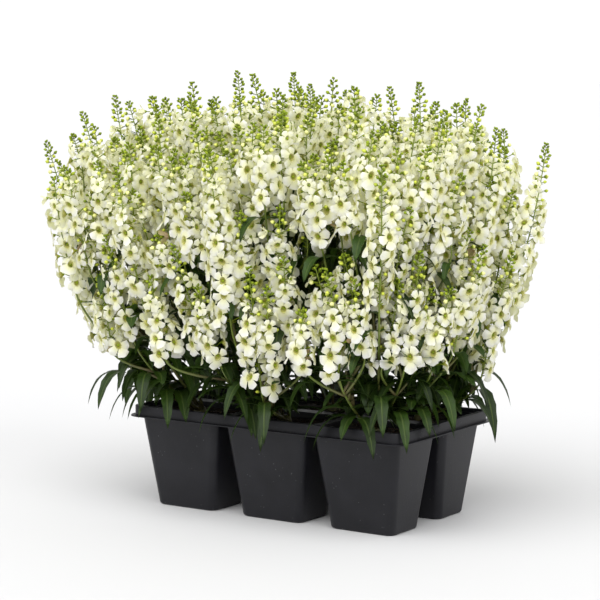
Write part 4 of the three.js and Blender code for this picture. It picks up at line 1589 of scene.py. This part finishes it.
@dataclass
class CellPack:
    """The formed black sheet: six tapered cells under a sunk deck, in a rim with a flange."""

    pitch: tuple[float, float] = (89 * MM, 76 * MM)
    cell_top: tuple[float, float] = (81.5 * MM, 64 * MM)
    taper: float = 10.1 * MM
    taper_height: float = 79 * MM
    cell_corner: float = 7 * MM
    foot_rounding: tuple[tuple[float, float], ...] = (
        (0.0, 1.7 * MM),
        (0.5 * MM, 0.75 * MM),
        (1.7 * MM, 0.0),
    )
    sheet: float = 0.9 * MM
    rim: tuple[float, float] = (271.5 * MM, 150 * MM)
    rim_corner: float = 9 * MM
    basin_corner: float = 6 * MM
    rim_top: float = 88 * MM
    rim_foot: float = 79 * MM
    deck_top: float = 84.5 * MM
    rim_width: float = 3.4 * MM
    flange: float = 3.8 * MM
    drain_radius: float = 5 * MM
    lip: float = 0.7 * MM
    over: float = 5 * MM
    corner_steps: int = 7
    edge: float = 0.35 * MM

    def __post_init__(self) -> None:
        """Finds the pack's middle."""
        low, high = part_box("cell_pack")
        self.centre = ((low.x + high.x) / 2, (low.y + high.y) / 2)

    def centres(self) -> list[tuple[float, float]]:
        """The cells' middles, front row first."""
        return [
            (self.centre[0] + column * self.pitch[0], self.centre[1] + row * self.pitch[1])
            for row in (-0.5, 0.5)
            for column in (-1, 0, 1)
        ]

    def outline(
        self, centre: tuple[float, float], size: tuple[float, float], radius: float, z: float
    ) -> Array:
        """A rectangle with rounded corners, anticlockwise at one height.

        Args:
            centre: its middle.
            size: its length and width.
            radius: its corners' radius.
            z: its height.

        Returns:
            Its points.
        """
        points = []
        for corner, (sx, sy) in enumerate(((1, 1), (-1, 1), (-1, -1), (1, -1))):
            for step in range(self.corner_steps + 1):
                turn = math.pi / 2 * (corner + step / self.corner_steps)
                x = centre[0] + sx * (size[0] / 2 - radius) + radius * math.cos(turn)
                y = centre[1] + sy * (size[1] / 2 - radius) + radius * math.sin(turn)
                points.append((x, y, z))
        return np.array(points)

    def cell_outline(self, centre: tuple[float, float], inset: float, z: float) -> Array:
        """A tapered cell's outline at one height, its walls moved in by an inset."""
        taken = self.taper * (1 - z / self.taper_height) + inset
        size = (self.cell_top[0] - 2 * taken, self.cell_top[1] - 2 * taken)
        return self.outline(centre, size, self.cell_corner - min(inset / 2, 2 * MM), z)

    def solid(self, rings: Sequence[Array]) -> bpy.types.Object:
        """A closed solid through rings of equal count, lidded flat at both ends."""
        count = len(rings[0])
        mesh = bpy.data.meshes.new("cutter")
        faces = [list(reversed(range(count))), [(len(rings) - 1) * count + k for k in range(count)]]
        for ring in range(len(rings) - 1):
            for k in range(count):
                n = (k + 1) % count
                low, high = ring * count, (ring + 1) * count
                faces.append([low + k, low + n, high + n, high + k])
        mesh.from_pydata(np.concatenate(rings).tolist(), [], faces)
        made = bpy.data.objects.new("cutter", mesh)
        bpy.context.scene.collection.objects.link(made)
        return made

    def slab(self, size: tuple[float, float], radius: float, low: float, high: float) -> bpy.types.Object:
        """A flat solid with rounded corners, on the pack's middle."""
        return self.solid([self.outline(self.centre, size, radius, z) for z in (low, high)])

    def cell_block(self, centre: tuple[float, float], inset: float, top: float) -> bpy.types.Object:
        """A tapered cell's outer or inner body, rounded at the foot."""
        rings = [self.cell_outline(centre, inset + more, inset + z) for z, more in self.foot_rounding]
        return self.solid([*rings, self.cell_outline(centre, inset, top)])

    def combine(self, target: bpy.types.Object, tool: bpy.types.Object, operation: str) -> None:
        """Joins a tool to the target or cuts it away, and removes the tool."""
        modifier = target.modifiers.new("combine", "BOOLEAN")
        modifier.operation = operation
        modifier.solver = "MANIFOLD"
        modifier.object = tool
        graph = bpy.context.evaluated_depsgraph_get()
        made = bpy.data.meshes.new_from_object(target.evaluated_get(graph))
        target.modifiers.clear()
        target.data = made
        bpy.data.objects.remove(tool)

    def build(self, plastic: bpy.types.Material) -> bpy.types.Object:
        """Makes the pack.

        Args:
            plastic: its material.

        Returns:
            The piece.
        """
        basin = (self.rim[0] - 2 * self.rim_width, self.rim[1] - 2 * self.rim_width)
        grown = tuple(side + 2 * self.sheet for side in basin)
        above = self.rim_top + self.over
        rounded = ((0.0, self.rim_foot), (0.0, self.rim_top - self.lip))
        rounded += ((0.6 * self.lip, self.rim_top - 0.25 * self.lip), (2 * self.lip, self.rim_top))
        rings = []
        for taken, z in rounded:
            size = tuple(side - taken for side in self.rim)
            rings.append(self.outline(self.centre, size, self.rim_corner, z))
        rim = self.solid(rings)
        wide = tuple(side + 2 * self.flange for side in self.rim)
        thin = self.sheet / 2
        corner = self.rim_corner + self.flange
        self.combine(rim, self.slab(wide, corner, self.rim_foot - thin, self.rim_foot + thin), "UNION")
        hollow = self.slab(
            tuple(side - 2 * self.sheet for side in self.rim),
            self.rim_corner - self.sheet,
            -self.over,
            self.rim_top - self.sheet,
        )
        skin = self.slab(grown, self.basin_corner + self.sheet, self.deck_top - self.sheet, above)
        self.combine(hollow, skin, "DIFFERENCE")
        for centre in self.centres():
            self.combine(rim, self.cell_block(centre, 0.0, self.deck_top), "UNION")
            self.combine(hollow, self.cell_block(centre, 0.0, self.deck_top), "DIFFERENCE")
        self.combine(rim, self.slab(basin, self.basin_corner, self.deck_top, above), "DIFFERENCE")
        self.combine(rim, hollow, "DIFFERENCE")
        for centre in self.centres():
            self.combine(rim, self.cell_block(centre, self.sheet, above), "DIFFERENCE")
            size = (2 * self.drain_radius, 2 * self.drain_radius)
            depth = (-self.over, self.over)
            rings = [self.outline(centre, size, self.drain_radius, z) for z in depth]
            self.combine(rim, self.solid(rings), "DIFFERENCE")
        rim.name = rim.data.name = "formed_pack"
        rim.data.materials.clear()
        rim.data.materials.append(plastic)
        rim.data.shade_smooth()
        soft = rim.modifiers.new("edges", "BEVEL")
        soft.width = self.edge
        soft.segments = 2
        soft.limit_method = "ANGLE"
        soft.angle_limit = math.radians(35)
        soft.harden_normals = True
        return settle(rim, ["cell_pack"])


@dataclass
class SoilPlug:
    """One cell's peat: lumpy above, smooth where it fills its cell, with loose crumbs on top."""

    pack: CellPack
    cell: Cell
    number: int
    level: float = 80 * MM
    gap: float = 0.4 * MM
    relief: float = 1.5 * MM
    lumps: float = 0.45
    wander: float = 0.5 * MM
    edge_hold: float = 20.0
    rings: tuple[float, ...] = (0.985, 0.94, 0.88, 0.8, 0.7, 0.6, 0.5, 0.4, 0.3, 0.2, 0.13)
    crumbs: int = 100
    crumb: tuple[float, float] = (0.7 * MM, 2.3 * MM)
    crumb_girths: tuple[float, float] = (0.4, 0.9)
    crumb_reach: tuple[float, float] = (0.12, 0.95)
    crumb_rise: float = 0.6 * MM

    def build(self, peat: bpy.types.Material) -> None:
        """Makes the plug.

        Args:
            peat: its material.
        """
        draw = np.random.default_rng(SOIL_SEED + self.number)
        centre = self.pack.centres()[self.number]
        inset = self.pack.sheet + self.gap
        outlines = [self.pack.cell_outline(centre, inset, z) for z in (inset, 0.5 * self.level)]
        edge = self.pack.cell_outline(centre, inset, self.level - self.relief)
        middle = np.array([*centre, self.level])
        rows = [*outlines, edge]
        for share in self.rings:
            ring = middle + (edge - middle) * share
            ring[:, 2] = self.level + draw.normal(0, self.relief * self.lumps, len(ring))
            fade = min(1.0, (1 - share) * self.edge_hold)
            ring[:, :2] += draw.normal(0, self.wander, (len(ring), 2)) * fade
            rows.append(ring)
        points = np.concatenate([*rows, [middle], [[*centre, inset]]])
        count = len(edge)
        around = np.arange(count)
        nearby = (around + 1) % count
        last = (len(rows) - 1) * count
        lid = np.stack([last + around, last + nearby, np.full(count, len(rows) * count)], -1)
        floor = np.stack([nearby, around, np.full(count, len(rows) * count + 1)], -1)
        faces = np.concatenate([grid_faces(len(rows), count, True), lid, floor])
        batch = Batch()
        batch.add(Patch(points, faces, np.zeros_like(points)))
        rim = rows[len(outlines) + 1]
        for _ in range(self.crumbs):
            toward = rim[int(draw.integers(count))] - middle
            spot = middle + toward * draw.uniform(*self.crumb_reach)
            size = draw.uniform(*self.crumb)
            way = unit(draw.normal(0, 1, 3))
            spot[2] = self.level + draw.uniform(0.0, self.crumb_rise)
            line = spot + np.outer([-0.9, -0.4, 0.5, 0.9], way * size)
            radii = size * draw.uniform(*self.crumb_girths, 4)
            batch.add(tube(line, radii, 5, np.zeros((4, 3))))
        batch.build(f"peat_{self.cell.value}", [peat], Slot.SOIL, [f"soil_{self.cell.value}"])


# The studio


@dataclass(frozen=True)
class SoftSun:
    """A far soft light: its azimuth and elevation in degrees, strength and width in degrees."""

    name: str
    place: tuple[float, float]
    power: float
    spread: float


@dataclass
class Studio:
    """A white sweep, soft light and a camera at the photograph's angle."""

    suns: tuple[SoftSun, ...] = (
        SoftSun("overhead_light", (0.0, 58.0), 2.75, 60.0),
        SoftSun("right_light", (70.0, 30.0), 0.9, 40.0),
    )
    camera_place: tuple[float, float, float] = (0.965, -1.467, 0.371)
    azimuth: float = 33.6
    elevation: float = 6.18
    sensor: float = 36.0
    focal_share: float = 2061.0 / 600.0
    horizon: float = 1.05
    zenith: float = 0.72
    fade: tuple[float, float] = (0.15, 0.6)
    sweep: float = 150.0
    view_end: float = 500.0

    def build(self, white: bpy.types.Material) -> None:
        """Makes the floor, the light and the camera.

        Args:
            white: the sweep's material.
        """
        scene = bpy.context.scene
        scene.view_settings.view_transform = "Standard"
        low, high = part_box("cell_pack")
        middle = Vector(((low.x + high.x) / 2, (low.y + high.y) / 2, 0.0))
        self.make_floor(white)
        self.make_sky(scene)
        for sun in self.suns:
            self.make_light(sun)
        camera = bpy.data.objects.new("camera", bpy.data.cameras.new("camera"))
        scene.collection.objects.link(camera)
        camera.location = middle + Vector(self.camera_place)
        camera.rotation_mode = "QUATERNION"
        camera.rotation_quaternion = self.toward(self.azimuth, self.elevation).to_track_quat("Z", "Y")
        camera.data.sensor_width = self.sensor
        camera.data.lens = self.sensor * self.focal_share
        camera.data.clip_end = self.view_end
        scene.camera = camera

    @staticmethod
    def toward(azimuth: float, elevation: float) -> Vector:
        """The way from the pack to a viewer, at degrees round from the front and up."""
        turn, rise = math.radians(azimuth), math.radians(elevation)
        level = math.cos(rise)
        return Vector((math.sin(turn) * level, -math.cos(turn) * level, math.sin(rise)))

    def make_floor(self, white: bpy.types.Material) -> None:
        """A wide flat floor."""
        half = self.sweep
        mesh = bpy.data.meshes.new("studio_floor")
        corners = [(-half, -half, 0), (half, -half, 0), (half, half, 0), (-half, half, 0)]
        mesh.from_pydata(corners, [], [(0, 1, 2, 3)])
        mesh.materials.append(white)
        floor = bpy.data.objects.new("studio_floor", mesh)
        bpy.context.scene.collection.objects.link(floor)

    def make_sky(self, scene: bpy.types.Scene) -> None:
        """A surround that is white at eye level and dimmer overhead."""
        world = bpy.data.worlds.new("surround")
        world.use_nodes = True
        nodes, links = world.node_tree.nodes, world.node_tree.links
        way = nodes.new("ShaderNodeTexCoord")
        split = nodes.new("ShaderNodeSeparateXYZ")
        fade = nodes.new("ShaderNodeMapRange")
        fade.interpolation_type = "SMOOTHSTEP"
        low, high = self.fade
        levels = {"From Min": low, "From Max": high, "To Min": self.horizon, "To Max": self.zenith}
        for name, value in levels.items():
            fade.inputs[name].default_value = value
        links.new(way.outputs["Generated"], split.inputs[0])
        links.new(split.outputs["Z"], fade.inputs["Value"])
        links.new(fade.outputs[0], nodes["Background"].inputs["Strength"])
        nodes["Background"].inputs["Color"].default_value = (1.0, 1.0, 1.0, 1.0)
        scene.world = world

    def make_light(self, sun: SoftSun) -> None:
        """Hangs one of the soft lights."""
        data = bpy.data.lights.new(sun.name, "SUN")
        data.energy = sun.power
        data.angle = math.radians(sun.spread)
        light = bpy.data.objects.new(sun.name, data)
        light.rotation_mode = "QUATERNION"
        light.rotation_quaternion = self.toward(*sun.place).to_track_quat("Z", "Y")
        bpy.context.scene.collection.objects.link(light)


def write_sizes() -> None:
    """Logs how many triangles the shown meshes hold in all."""
    meshes = [piece.data for piece in bpy.data.objects if piece.type == "MESH" and not piece.hide_render]
    LOG.info("%d triangles in all", sum(len(p.vertices) - 2 for mesh in meshes for p in mesh.polygons))


def main() -> None:
    """Builds the pack, the soil, the plants and the studio, in that order."""
    logging.basicConfig(level=logging.INFO, format="%(name)s: %(message)s")
    finishes = {
        "petal": Petal().build(),
        "leaf": Leaf().build(),
        "bud": Bud().build(),
        "stem": Stem().build(),
    }
    pack = CellPack()
    pack.build(PackPlastic().build())
    peat = Peat().build()
    for number, cell in enumerate(Cell):
        SoilPlug(pack, cell, number).build(peat)
    Mound(np.random.default_rng(SEED)).build(finishes)
    Studio().build(StudioWhite().build())
    write_sizes()


if __name__ == "__main__":
    main()
